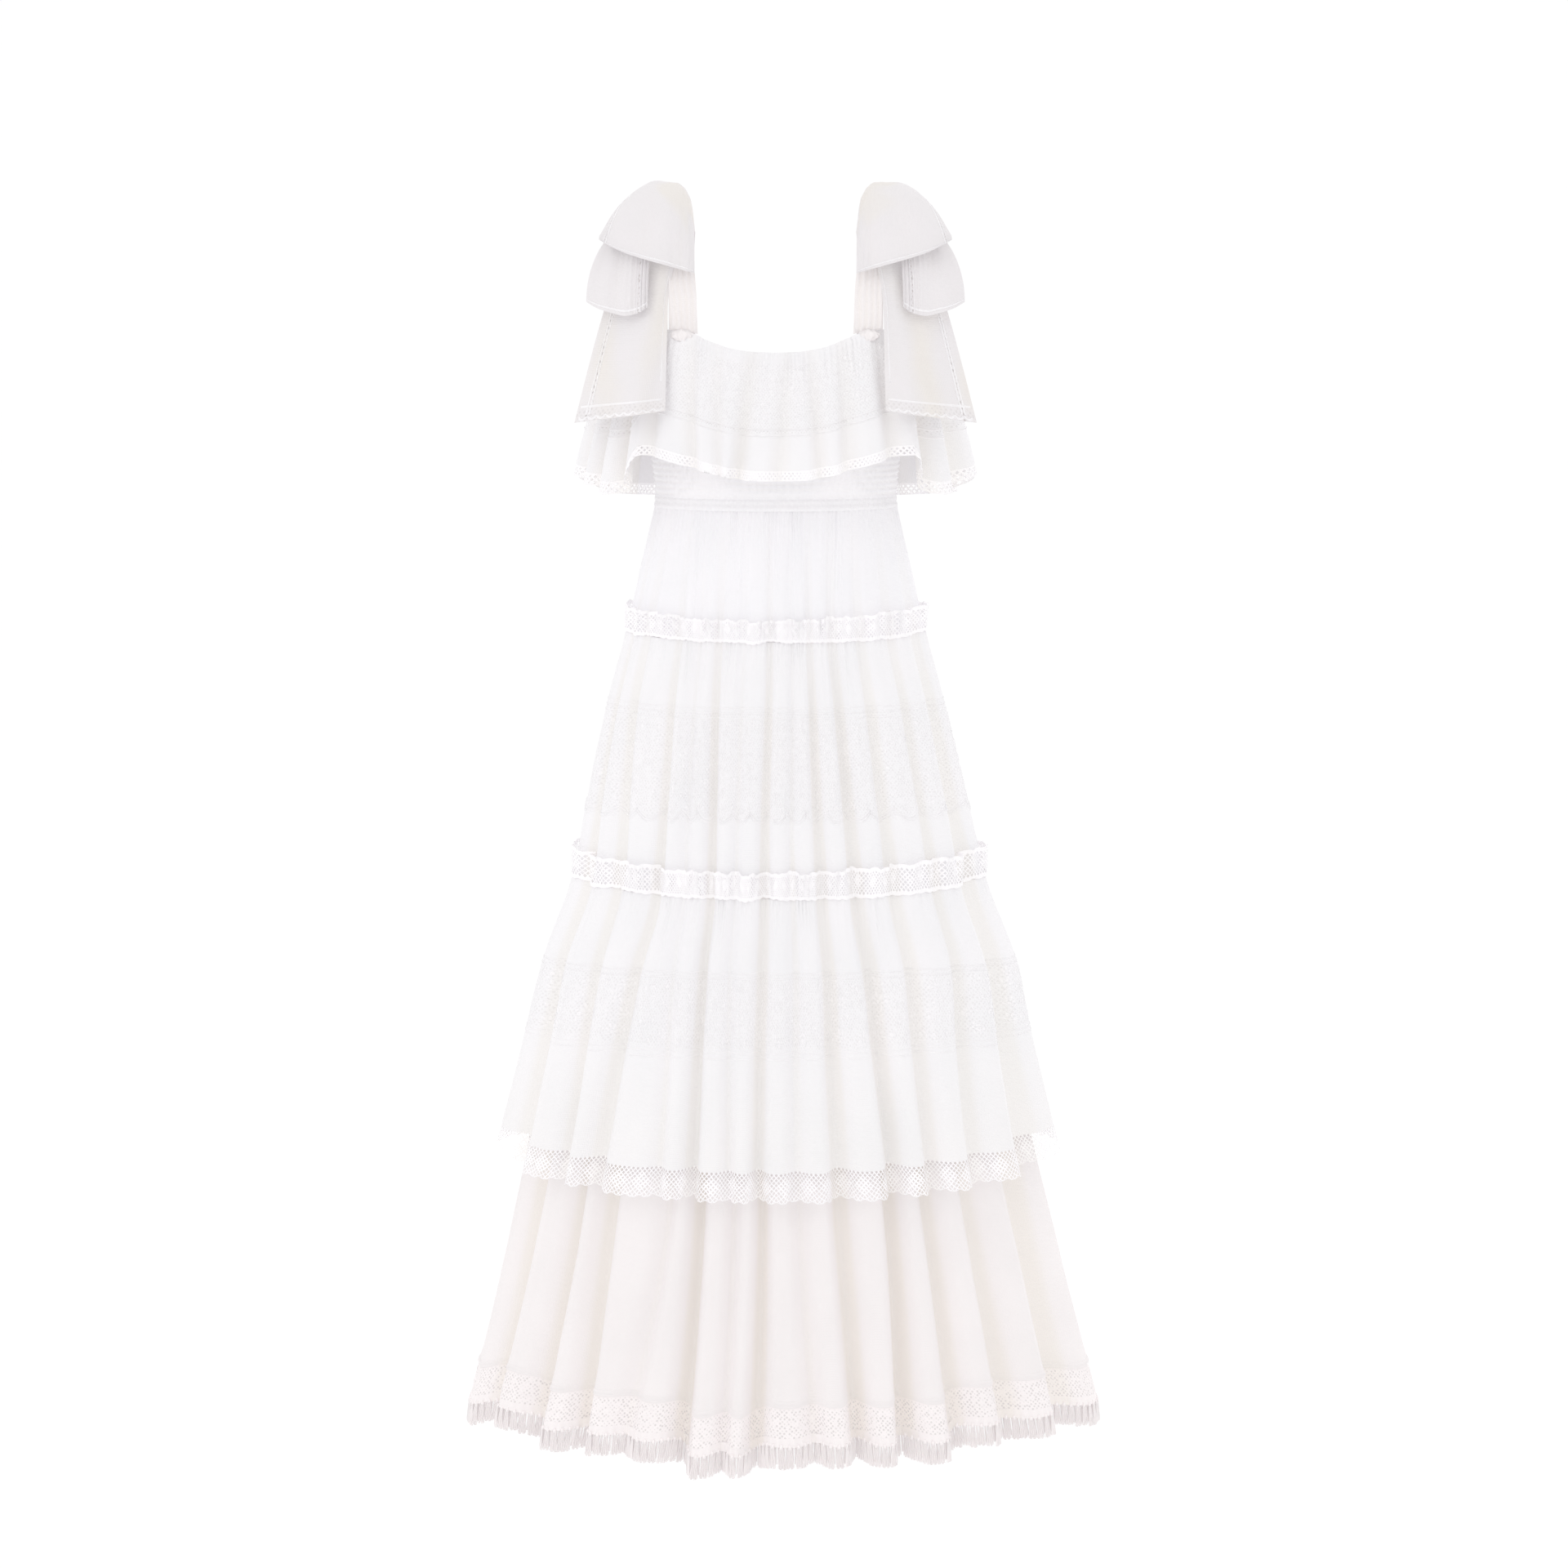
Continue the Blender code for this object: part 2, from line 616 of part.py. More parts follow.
def tail_rows(side, facing):
    """Rows of a tail from the knot down to its hem, with one soft fold along it."""
    rows = []
    for inner_y, inner_z, outer_y, outer_z, inner_x, outer_x, fold in TAIL:
        row = []
        for c in range(6):
            share = c / 5
            bulge = math.sin(math.pi * share)
            bend = fold * math.cos(3 * math.pi * share)
            x = inner_x + (outer_x - inner_x) * share
            y = inner_y + (outer_y - inner_y) * share - 0.35 * (outer_y - inner_y) * bulge + bend
            row.append(Vector((side * x, facing * y, inner_z + (outer_z - inner_z) * share)))
        rows.append(row)
    return rows


for label, side in (("left", -1), ("right", 1)):
    strap = []
    for index, (y, z, middle, half) in enumerate(STRAP):
        row = [Vector((side * (middle + part * half), y, z)) for part in (-1, 0, 1)]
        if index in (0, len(STRAP) - 1):
            for point in row:
                off = math.degrees(math.asin(abs(point.x) / NECKLINE[0]))
                off = off if y < 0 else 180 - off
                point.z = at(FLOUNCE_EDGES, off, 1) + SLOPED_GAP * 1.5
        strap.append(row)
    pieces = [
        (f"strap_{label}", strap),
        (f"upper_loop_{label}", draped_loop(UPPER_LOOP, side)),
        (f"lower_loop_{label}", draped_loop(LOWER_LOOP, side)),
        (f"tail_front_{label}", tail_rows(side, 1)),
        (f"tail_back_{label}", tail_rows(side, -1)),
    ]
    for name, rows in pieces:
        outward = outward_of(rows)
        if outward[len(rows) // 2][1].z < 0 or (outward[-1][1].y * rows[-1][1].y) < 0:
            rows = [row[::-1] for row in rows]
        wall(name, rows, half_tube=False)
    bm = bmesh.new()
    bmesh.ops.create_uvsphere(bm, u_segments=8, v_segments=5, radius=1.0)
    bmesh.ops.scale(bm, vec=KNOT_SIZE, verts=bm.verts)
    knot_x, knot_y, knot_z = KNOT_MIDDLE
    bmesh.ops.translate(bm, vec=(side * knot_x, knot_y, knot_z), verts=bm.verts)
    finish(bm, f"bow_knot_{label}", COTTON)
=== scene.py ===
"""Long white tiered dress with a shoulder flounce, bow-tied straps, lace insertions and a fringed hem.

Lengths are in metres, +Z is up, the front faces -Y, and the origin lies midway between the straps.
The skirt comes first, tier by tier with its lace down to the fringe, because its folds run through all
of it. Then come the seam frills, the bodice and its casing, the flounce, and the straps with their bows.
"""

import bisect
import functools
import math

import bmesh
import bpy
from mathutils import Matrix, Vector, noise


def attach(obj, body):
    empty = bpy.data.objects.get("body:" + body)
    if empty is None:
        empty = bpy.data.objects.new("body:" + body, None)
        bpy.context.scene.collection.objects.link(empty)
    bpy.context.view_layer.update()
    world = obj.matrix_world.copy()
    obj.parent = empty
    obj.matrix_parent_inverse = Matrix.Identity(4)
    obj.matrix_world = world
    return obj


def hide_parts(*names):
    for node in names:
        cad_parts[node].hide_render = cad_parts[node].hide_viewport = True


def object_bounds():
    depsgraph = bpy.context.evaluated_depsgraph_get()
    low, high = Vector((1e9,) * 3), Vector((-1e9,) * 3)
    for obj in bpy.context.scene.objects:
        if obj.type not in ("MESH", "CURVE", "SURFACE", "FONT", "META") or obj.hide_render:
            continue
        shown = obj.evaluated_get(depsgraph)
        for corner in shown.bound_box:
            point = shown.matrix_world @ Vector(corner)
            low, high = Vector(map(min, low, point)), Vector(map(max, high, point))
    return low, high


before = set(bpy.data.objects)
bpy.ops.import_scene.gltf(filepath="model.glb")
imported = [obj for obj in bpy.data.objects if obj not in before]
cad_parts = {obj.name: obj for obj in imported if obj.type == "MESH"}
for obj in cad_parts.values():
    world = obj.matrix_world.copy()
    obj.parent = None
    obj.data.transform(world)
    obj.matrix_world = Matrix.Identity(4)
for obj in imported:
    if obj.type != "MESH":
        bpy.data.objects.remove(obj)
cad_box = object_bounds()

# View: a long lens 3.6 m in front of the waist, tipped a little down, as a catalogue picture is taken.
# The whole dress stands in it with a little room all round.
lens = bpy.data.cameras.new("view")
lens.lens = 73.6
lens.sensor_width = 36
view = bpy.data.objects.new("view", lens)
view.location = (0.0092, -3.6, -0.134)
view.rotation_euler = (math.radians(90 - 8.12), 0, 0)
bpy.context.scene.collection.objects.link(view)
bpy.context.scene.camera = view

# First tier: plain cotton voile, woven of fine loose threads, gathered on a thread into the waist and
# into the seam below. Its folds run on through every tier under it, so they are given here.
TIER_1 = (-0.3320, -0.4707)
TIER_1_CUT = (1.15, 0.145)
# One row per fold, from the left side seam round: the angle of its valley at the waist, the first
# seam, the second seam, the overlay hem and the lowest hem, its depth, and how far it hangs, in mm.
FOLDS = (
    (-74, -74, -70, -69, -69, 1.4, -13),
    (-58, -60, -52, -50, -52, 1.0, 2),
    (-44, -40, -36, -41, -40, 1.1, 0),
    (-34, -30, -27, -25, -30, 0.6, 3),
    (-24, -22, -19, -18, -19, 1.15, 18),
    (-13, -12, -12, -10, -11, 0.6, 17),
    (-3, -2, -4, -4, -5, 1.0, 5),
    (6, 6, 4, 4, 6, 0.6, 5),
    (15, 13, 12, 13, 14, 1.1, 7),
    (26, 22, 22, 25, 23, 1.3, 7),
    (38, 34, 34, 34, 34, 1.0, -8),
    (54, 50, 50, 46, 46, 0.9, -8),
    (72, 70, 68, 66, 66, 1.3, 0),
    (106, 107, 106, 107, 105, 0.9, 3),
    (123, 122, 124, 125, 123, 1.1, -2),
    (138, 139, 139, 138, 140, 0.7, 4),
    (151, 150, 152, 153, 151, 1.3, 8),
    (164, 165, 163, 163, 164, 0.7, 0),
    (176, 175, 176, 177, 176, 1.1, 3),
    (188, 188, 187, 186, 188, 0.7, 0),
    (201, 200, 200, 199, 200, 1.3, 10),
    (215, 214, 214, 215, 213, 0.9, 0),
    (231, 232, 230, 231, 231, 1.1, 4),
    (252, 251, 252, 251, 252, 0.8, 0),
)
FOLD_HEIGHTS = (-0.330, -0.472, -0.750, -1.072, -1.388)
FRONT_FOLDS = 13
# Height, half width, half depth in front and at the back, fold depth, rise at front centre, lean.
SKIRT = (
    (-0.3320, 0.1345, 0.1010, 0.0990, 0.0005, -0.001, 0.0),
    (-0.4000, 0.1510, 0.1130, 0.1120, 0.0027, -0.002, 0.0),
    (-0.4710, 0.1675, 0.1270, 0.1270, 0.0052, -0.003, 0.0),
    (-0.5520, 0.1905, 0.1390, 0.1400, 0.0094, 0.003, 0.0005),
    (-0.6740, 0.2180, 0.1560, 0.1580, 0.0120, 0.006, 0.0020),
    (-0.7490, 0.2335, 0.1670, 0.1690, 0.0104, -0.002, 0.0035),
    (-0.8520, 0.2715, 0.1840, 0.1870, 0.0150, 0.014, 0.0035),
    (-0.9270, 0.2890, 0.1950, 0.1980, 0.0176, 0.006, 0.0020),
    (-1.0370, 0.3165, 0.2120, 0.2160, 0.0218, -0.009, 0.0020),
    (-1.0660, 0.3250, 0.2170, 0.2210, 0.0226, -0.010, 0.0020),
)


def curve(table, column):
    """A smooth curve through one column of a table over its first column, with no overshoot."""
    rows = sorted((row[0], row[column]) for row in table)
    keys = [key for key, value in rows]
    slopes = [(b[1] - a[1]) / (b[0] - a[0]) for a, b in zip(rows, rows[1:])]
    tangents = [slopes[0]]
    for one, two in zip(slopes, slopes[1:]):
        tangents.append(0.0 if one * two <= 0 else 2 * one * two / (one + two))
    tangents.append(slopes[-1])

    @functools.lru_cache(None)
    def value(key):
        i = min(max(bisect.bisect_right(keys, key) - 1, 0), len(keys) - 2)
        gap = keys[i + 1] - keys[i]
        t = min(1.0, max(0.0, (key - keys[i]) / gap))
        ends = rows[i][1] * (2 * t ** 3 - 3 * t ** 2 + 1) + rows[i + 1][1] * (3 * t ** 2 - 2 * t ** 3)
        return ends + gap * (tangents[i] * (t ** 3 - 2 * t ** 2 + t) + tangents[i + 1] * (t ** 3 - t ** 2))

    return value


def curves(table):
    """A smooth curve over the first column for each other column of a table."""
    return [curve(table, column) for column in range(1, len(table[0]))]


def ridges_between(valleys):
    """The angle of each fold's edges: halfway between the valleys, and at both side seams."""
    ridges = [(before + after) / 2 for before, after in zip(valleys, valleys[1:])]
    ridges[FRONT_FOLDS - 1] = 90.0
    return [-90.0] + ridges + [270.0]


def folded(u, valleys, depths):
    """Angle round the body at a share u round the cloth, and how deep in a fold it lies there."""
    place = min(max(u, 0.0), 1.0) * len(valleys)
    i = min(int(place), len(valleys) - 1)
    s = place - i
    ridges = ridges_between(valleys)
    middle = (valleys[i] - ridges[i]) / (ridges[i + 1] - ridges[i])
    deep = (0.5 - 0.5 * math.cos(2 * math.pi * s ** (math.log(0.5) / math.log(middle)))) ** 1.9
    return ridges[i] + (ridges[i + 1] - ridges[i]) * s, deep * depths[i]


def oval(angle, half_width, front, back):
    """Point of an oval round the body at an angle from front centre, fuller in front or at the back."""
    turn = math.radians(angle)
    return half_width * math.sin(turn), -(front if math.cos(turn) > 0 else back) * math.cos(turn)


def rough(u, z, round_count, down, seed):
    """Uneven value from -1 to 1 that meets itself round the cloth."""
    turn = 2 * math.pi * u
    size = round_count / (2 * math.pi)
    return noise.noise(Vector((size * math.cos(turn) + seed, size * math.sin(turn) - seed, z * down)))


def gathers(u, below, count, reach, depth):
    """Fine uneven gathers that fade out below the thread they are drawn up on."""
    wander = rough(u, below, 30, 6, 3.1)
    length = reach * (0.75 + 0.9 * rough(u, 0, 70, 0, 8.7))
    fade = math.exp(-max(below, 0.0) / max(length, 0.008))
    wave = math.sin(2 * math.pi * (count * u + 1.3 * wander))
    wave += 0.6 * math.sin(2 * math.pi * (count * 0.37 * u + 1.1 * rough(u, below, 22, 4, 5.3)))
    return depth * fade * wave * (0.7 + 0.6 * rough(u, below, 60, 3, 1.9))


@functools.lru_cache(None)
def skirt_valleys(height):
    """Angles of the skirt's valleys at a height."""
    steps = [curve([(z, row[i]) for i, z in enumerate(FOLD_HEIGHTS)], 1) for row in FOLDS]
    return [step(height) for step in steps]


def hang_at(u):
    """How far the cloth hangs below its level, by the length of each fold's ridge."""
    place = u * len(FOLDS) - 0.5
    i = math.floor(place)
    t = place - i
    before, here, after = (FOLDS[(i + k) % len(FOLDS)][6] / 1000 for k in (-1, 0, 1))
    level = here * (0.4 + 0.6 * math.sin(math.pi * t) ** 0.6)
    return level + 0.4 * before * max(0.0, 1 - 4 * t) ** 2 + 0.4 * after * max(0.0, 4 * t - 3) ** 2


def on_skirt(levels, u, height, out=0.0, hang=0.0):
    """Point of the skirt at a share u round it and a height, and how much painted shade it gets deep in a
    fold.
    """
    half_width, front, back, fold, rise, lean = (column(height) for column in levels)
    angle, deep = folded(u, skirt_valleys(height), [row[5] for row in FOLDS])
    crease = 0.0016 * rough(u, height, 34, 5, 2.2) + 0.0007 * rough(u, height, 90, 16, 6.4)
    outward = out + crease * min(1.0, fold / 0.01) - deep * fold
    x, y = oval(angle, half_width + outward, front + outward, back + outward)
    z = height + rise * max(0.0, math.cos(math.radians(angle))) - hang * hang_at(u)
    # Painted shade, strongest deep in the fold valleys.
    shade = min(1.0, max(0.0, 3.2 * (deep + 0.16 * rough(u, height, 60, 3, 7.7)) - 1.5))
    return Vector((x + lean, y, z)), shade * min(1.0, fold / 0.010)


def colour(code):
    """An sRGB hex colour as linear light."""
    parts = [int(code[i : i + 2], 16) / 255 for i in (1, 3, 5)]
    return (*[p / 12.92 if p <= 0.04045 else ((p + 0.055) / 1.055) ** 2.4 for p in parts], 1.0)


def add_node(tree, kind, links=None, **settings):
    """A node with its settings, its inputs given a value or linked to an output."""
    node = tree.nodes.new(kind)
    for name, value in settings.items():
        setattr(node, name, value)
    for name, value in (links or {}).items():
        if isinstance(value, bpy.types.NodeSocket):
            tree.links.new(value, node.inputs[name])
        else:
            node.inputs[name].default_value = value
    return node


def cotton(name, light, shade, thread, lace=False, fold_shade_strength=0.18, glow=0.12):
    """Matt bleached cotton: two shades of white, a plain weave, and painted cream shade deep in the folds.

    It is so thin that light comes through it from behind, and a faint painted glow stands in for that.
    """
    material = bpy.data.materials.new(name)
    material.use_nodes = True
    tree = material.node_tree
    shader = tree.nodes["Principled BSDF"]
    shader.inputs["Roughness"].default_value = 0.86
    shader.inputs["IOR"].default_value = 1.53
    shader.inputs["Specular IOR Level"].default_value = 0.25
    shader.inputs["Sheen Weight"].default_value = 0.12
    shader.inputs["Sheen Roughness"].default_value = 0.5
    # Painted glow: emission stands in for light coming through the thin cloth.
    shader.inputs["Emission Color"].default_value = colour("#FBF9FA")
    shader.inputs["Emission Strength"].default_value = glow
    cut = add_node(tree, "ShaderNodeUVMap", uv_map="cut")
    deep = add_node(tree, "ShaderNodeAttribute", attribute_name="fold")
    clouds = add_node(tree, "ShaderNodeTexNoise", {"Vector": cut.outputs["UV"], "Scale": 9.0, "Detail": 3.0})
    blotch = add_node(
        tree, "ShaderNodeMapRange", {"Value": clouds.outputs["Fac"], "From Min": 0.3, "From Max": 0.7}
    )
    shades = {6: colour(light), 7: colour(shade), 0: blotch.outputs["Result"]}
    white = add_node(tree, "ShaderNodeMix", shades, data_type="RGBA")
    share = add_node(tree, "ShaderNodeMath", {0: deep.outputs["Fac"], 1: fold_shade_strength}, operation="MULTIPLY")
    # The fold attribute paints cream shade into fold valleys and other shaded places.
    cream = {6: white.outputs[2], 7: colour("#DDD5C2"), 0: share.outputs["Value"]}
    last = add_node(tree, "ShaderNodeMix", cream, data_type="RGBA").outputs[2]
    # A wave texture of scale 1 has its bands 0.314 m apart.
    threads = []
    for direction in ("X", "Y"):
        bands = {
            "Vector": cut.outputs["UV"],
            "Scale": 0.314 / thread,
            "Distortion": 1.2,
            "Detail": 1.0,
            "Detail Scale": 0.6,
        }
        threads.append(add_node(tree, "ShaderNodeTexWave", bands, bands_direction=direction).outputs["Fac"])
    weave = add_node(tree, "ShaderNodeMath", {0: threads[0], 1: threads[1]}, operation="ADD")
    height = weave.outputs["Value"]
    if lace:
        zone = add_node(tree, "ShaderNodeAttribute", attribute_name="lace")
        quarter = {"Vector": cut.outputs["UV"], "Rotation": (0, 0, math.radians(45))}
        turned = add_node(tree, "ShaderNodeMapping", quarter)
        pitch = {"Vector": turned.outputs["Vector"], "Scale": 1 / 0.0036, "Randomness": 0.35}
        cells = add_node(tree, "ShaderNodeTexVoronoi", pitch)
        rim = {"From Min": 0.22, "From Max": 0.42, "To Min": 1.0, "To Max": 0.0}
        holes = add_node(tree, "ShaderNodeMapRange", {"Value": cells.outputs["Distance"], **rim})
        shown = {0: holes.outputs["Result"], 1: zone.outputs["Fac"]}
        hole = add_node(tree, "ShaderNodeMath", shown, operation="MULTIPLY").outputs["Value"]
        # The holes are painted dark grey, the painted shade of what lies behind them.
        painted_hole_shade = {6: last, 7: colour("#B9B3B2"), 0: hole}
        last = add_node(tree, "ShaderNodeMix", painted_hole_shade, data_type="RGBA").outputs[2]
        sunk = add_node(tree, "ShaderNodeMath", {0: hole, 1: -3.5, 2: height}, operation="MULTIPLY_ADD")
        height = sunk.outputs["Value"]
    bump = add_node(tree, "ShaderNodeBump", {"Height": height, "Strength": 0.35, "Distance": 0.0004})
    tree.links.new(last, shader.inputs["Base Color"])
    tree.links.new(bump.outputs["Normal"], shader.inputs["Normal"])
    return material


# Bleached voile is matt and faintly bluish white. Its 40 threads to the centimetre are too fine to show,
# so they are drawn 1.4 mm apart.
VOILE = cotton("cotton_voile_bleached_plain_weave", "#EAE8EB", "#E6E5E8", 0.0014, glow=0.14)


def to_mesh(bm, name):
    mesh = bpy.data.meshes.new(name)
    bm.to_mesh(mesh)
    bm.free()
    return mesh


def finished(bm, name, material, replaces=()):
    """The piece: smooth shaded, its ends sewn together, riding with the dress."""
    bmesh.ops.remove_doubles(bm, verts=bm.verts, dist=0.00002)
    mesh = to_mesh(bm, name)
    mesh.materials.append(material)
    mesh.shade_smooth()
    piece = bpy.data.objects.new(name, mesh)
    bpy.context.scene.collection.objects.link(piece)
    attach(piece, "root")
    if replaces:
        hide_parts(*replaces)
    return piece


def add_layers(bm):
    """What cotton() reads: the place on the cut, how much painted shade it gets, and how open the lace."""
    layers = bm.verts.layers.float
    return bm.loops.layers.uv.new("cut"), layers.new("fold"), layers.new("lace")


def flat_cloth(columns, rows, cut):
    """Flat cloth as a grid, with the place of each point on the cut as its UV map."""
    bm = bmesh.new()
    bmesh.ops.create_grid(bm, x_segments=columns, y_segments=rows, size=0.5)
    chart = add_layers(bm)[0]
    for face in bm.faces:
        for loop in face.loops:
            loop[chart].uv = ((loop.vert.co.x + 0.5) * cut[0], (0.5 - loop.vert.co.y) * cut[1])
    return bm


def drape(bm, place, lace=None):
    """Every point of flat cloth moved to where it hangs."""
    fold, net = bm.verts.layers.float["fold"], bm.verts.layers.float["lace"]
    for vert in bm.verts:
        u, v = vert.co.x + 0.5, 0.5 - vert.co.y
        vert.co, vert[fold] = place(u, v)
        if lace:
            vert[net] = lace(u, v)


def cloth(name, columns, rows, cut, place, replaces, material=VOILE, lace=None):
    """One piece of cloth, cut flat and draped."""
    bm = flat_cloth(columns, rows, cut)
    drape(bm, place, lace)
    return finished(bm, name, material, replaces)


skirt = curves(SKIRT)


def between(span, v):
    """The value a share v of the way along a span."""
    return span[0] + (span[1] - span[0]) * v


def on_tier_1(u, v):
    height = between(TIER_1, v)
    below = TIER_1[0] - height
    fine = gathers(u, below, 118, 0.075, 0.0011) + gathers(u, height - TIER_1[1], 128, 0.020, 0.0009)
    return on_skirt(skirt, u, height, out=fine)


tier_1 = cloth("tier_1_cloth", 720, 34, TIER_1_CUT, on_tier_1, ("tier_1_front", "tier_1_back"))

# Second tier: the same voile with a lace insertion round its middle, sewn in under a ladder of
# drawn threads and ending in a scalloped border over the plain cloth.
TIER_2 = (-0.4713, -0.7490)
TIER_2_CUT = (1.50, 0.285)
INSERTION_2 = (-0.5480, -0.6740)


def in_zone(height, zone, soft=0.004):
    """1 between two heights, fading to 0 past both."""
    above = min(1.0, max(0.0, (zone[0] - height) / soft))
    return above * min(1.0, max(0.0, (height - zone[1]) / soft))


def on_tier_2(u, v, out=0.0):
    height = between(TIER_2, v)
    below = TIER_2[0] - height
    fine = gathers(u, below, 128, 0.050, 0.0012) + gathers(u, height - TIER_2[1], 140, 0.022, 0.0010)
    point, deep = on_skirt(skirt, u, height, out=out + fine)
    # Fold valleys get stronger painted shade just above the second seam.
    return point, min(1.0, deep * (1 + 1.3 * in_zone(height, (-0.690, -0.760), 0.03)))


# The same voile where lace is let in: it is duller there, because its fine holes are painted as grey specks,
# the painted shade seen through them.
LACED = cotton("cotton_voile_with_lace_insertion", "#EAE8EA", "#E6E5E7", 0.0014, lace=True, fold_shade_strength=0.21)
LACED_GROUND = 0.22
tier_2 = cloth(
    "tier_2_cloth",
    624,
    50,
    TIER_2_CUT,
    on_tier_2,
    ("tier_2_front", "tier_2_back"),
    LACED,
    lambda u, v: LACED_GROUND * in_zone(between(TIER_2, v), INSERTION_2),
)


def raise_rib(bm, place, steps, path, width, out, cut):
    """A corded line worked on the cloth along path(t), which gives its shares round and down."""
    rib = bmesh.new()
    bmesh.ops.create_grid(rib, x_segments=steps, y_segments=2, size=0.5)
    chart, fold = add_layers(rib)[:2]
    for vert in rib.verts:
        t, across = vert.co.x + 0.5, -2 * vert.co.y
        for loop in vert.link_loops:
            loop[chart].uv = (t * cut[0], across * width)
        (u, v), (u_on, v_on) = path(t), path(t + 0.0005)
        along, down = (u_on - u) * cut[0], (v_on - v) * cut[1]
        side = across * width / 2 / math.hypot(along, down)
        u, v = u - down * side / cut[0], v + along * side / cut[1]
        vert.co, vert[fold] = place(u, v, out if across == 0 else 0.0001)
    add_in(bm, rib)


def add_in(bm, other):
    """One mesh taken into another, so that both are one piece."""
    part = to_mesh(other, "part")
    bm.from_mesh(part)
    bpy.data.meshes.remove(part)


def empty_lace():
    bm = bmesh.new()
    add_layers(bm)
    return bm


# Embroidered leaf of seven petals about a stem, worked in satin stitch: x and y of each petal's
# middle, its length, width and turn in degrees, in millimetres.
LEAF = (
    (0.0, 5.2, 4.6, 2.0, 90),
    (-2.9, 3.2, 4.2, 1.8, 132),
    (2.9, 3.2, 4.2, 1.8, 48),
    (-3.2, -0.4, 3.8, 1.7, 168),
    (3.2, -0.4, 3.8, 1.7, 12),
    (0.0, 0.6, 2.4, 2.4, 0),
    (1.2, -4.2, 5.4, 1.4, 70),
)
# Curled teardrop beside it.
TEARDROP = (
    (0.0, 0.0, 3.4, 3.4, 0),
    (-3.2, 1.4, 3.4, 1.6, 60),
    (-1.6, 4.0, 3.6, 1.5, 20),
    (1.8, 4.0, 3.4, 1.4, -25),
    (3.6, 1.2, 3.2, 1.4, -75),
    (2.4, -2.6, 3.6, 1.5, -140),
)


def embroider(bm, place, motif, u, v, cut, size=1.0, turn=0.0, out=0.0009):
    """One motif worked on the cloth, each petal a low dome of thread."""
    petals = bmesh.new()
    chart, fold = add_layers(petals)[:2]
    for x, y, length, width, angle in motif:
        petal = bmesh.ops.create_circle(petals, cap_ends=True, cap_tris=True, segments=7, radius=0.5)
        for vert in petal["verts"]:
            if vert.co.length < 0.01:
                vert.co.z = 1.0
        spin = math.radians(angle)
        for vert in petal["verts"]:
            a, b = vert.co.x * length, vert.co.y * width
            vert.co.x = x + a * math.cos(spin) - b * math.sin(spin)
            vert.co.y = y + a * math.sin(spin) + b * math.cos(spin)
    cos_turn, sin_turn = math.cos(turn), math.sin(turn)
    for vert in petals.verts:
        x = (vert.co.x * cos_turn - vert.co.y * sin_turn) * size / 1000
        y = (vert.co.x * sin_turn + vert.co.y * cos_turn) * size / 1000
        for loop in vert.link_loops:
            loop[chart].uv = (x, y)
        raised = out if vert.co.z > 0.5 else 0.0001
        vert.co, vert[fold] = place((u + x / cut[0]) % 1.0, v - y / cut[1], raised)
    add_in(bm, petals)


# Lace thread is soft twisted cotton, mercerised, and a little brighter than the cloth it is worked on.
THREAD = cotton("cotton_embroidery_thread", "#F1EFF1", "#EDEBED", 0.0008)


def sprinkle(bm, place, zone, span, cut, pitch, size, seed):
    """Leaves and teardrops set alternately over a band of lace, none on the side seam."""
    lines = max(1, round((zone[0] - zone[1]) / pitch))
    count = round(cut[0] / pitch)
    for line in range(lines):
        height = zone[0] + (zone[1] - zone[0]) * (line + 0.5) / lines
        for place_in_line in range(count):
            u = (place_in_line + 0.5 + 0.5 * (line % 2)) / count
            shift, drop, grow = (rough(u, 3 * line, 130, 1, seed + k) for k in (1.3, 5.9, 9.2))
            u += 0.9 * shift / count
            if not 0.012 < u < 0.988:
                continue
            motif = LEAF if (place_in_line + line) % 2 else TEARDROP
            turn = 5.0 * rough(u, line, 90, 1, seed)
            v = (span[0] - height + 0.35 * pitch * drop) / (span[0] - span[1])
            embroider(bm, place, motif, u, v, cut, size * (1.0 + 0.45 * grow), turn)


bm = empty_lace()
for drop in (0.000, 0.006, 0.012):
    share = (TIER_2[0] - INSERTION_2[0] + drop) / (TIER_2[0] - TIER_2[1])
    raise_rib(bm, on_tier_2, 480, lambda t, share=share: (t, share), 0.0015, 0.0007, TIER_2_CUT)
foot = (TIER_2[0] - INSERTION_2[1]) / (TIER_2[0] - TIER_2[1])
for drop in (0.0, 0.012):
    raise_rib(
        bm,
        on_tier_2,
        960,
        lambda t, drop=drop: (t, foot - drop - 0.030 + 0.036 * abs(math.sin(math.pi * 36 * t))),
        0.0026,
        0.0012,
        TIER_2_CUT,
    )
worked = (INSERTION_2[0] - 0.016, INSERTION_2[1] + 0.006)
sprinkle(bm, on_tier_2, worked, TIER_2, TIER_2_CUT, 0.0145, 1.15, 4.4)
insertion_2 = finished(bm, "tier_2_lace_insertion", THREAD)

# Third tier: an overlay of voile with a narrower insertion between two pairs of corded lines. It is
# gathered into the second seam and hangs free over the fourth tier, creamier towards its hem.
TIER_3 = (-0.7493, -1.0370)
TIER_3_CUT = (1.95, 0.295)
INSERTION_3 = (-0.8440, -0.9230)
CREAMIER_3 = (-0.900, -1.200)


def on_tier_3(u, v, out=0.0):
    height = between(TIER_3, v)
    below = TIER_3[0] - height
    point, deep = on_skirt(skirt, u, height, out=out + gathers(u, below, 140, 0.055, 0.0014))
    return point, min(1.0, deep + 0.35 * in_zone(height, CREAMIER_3, 0.12))


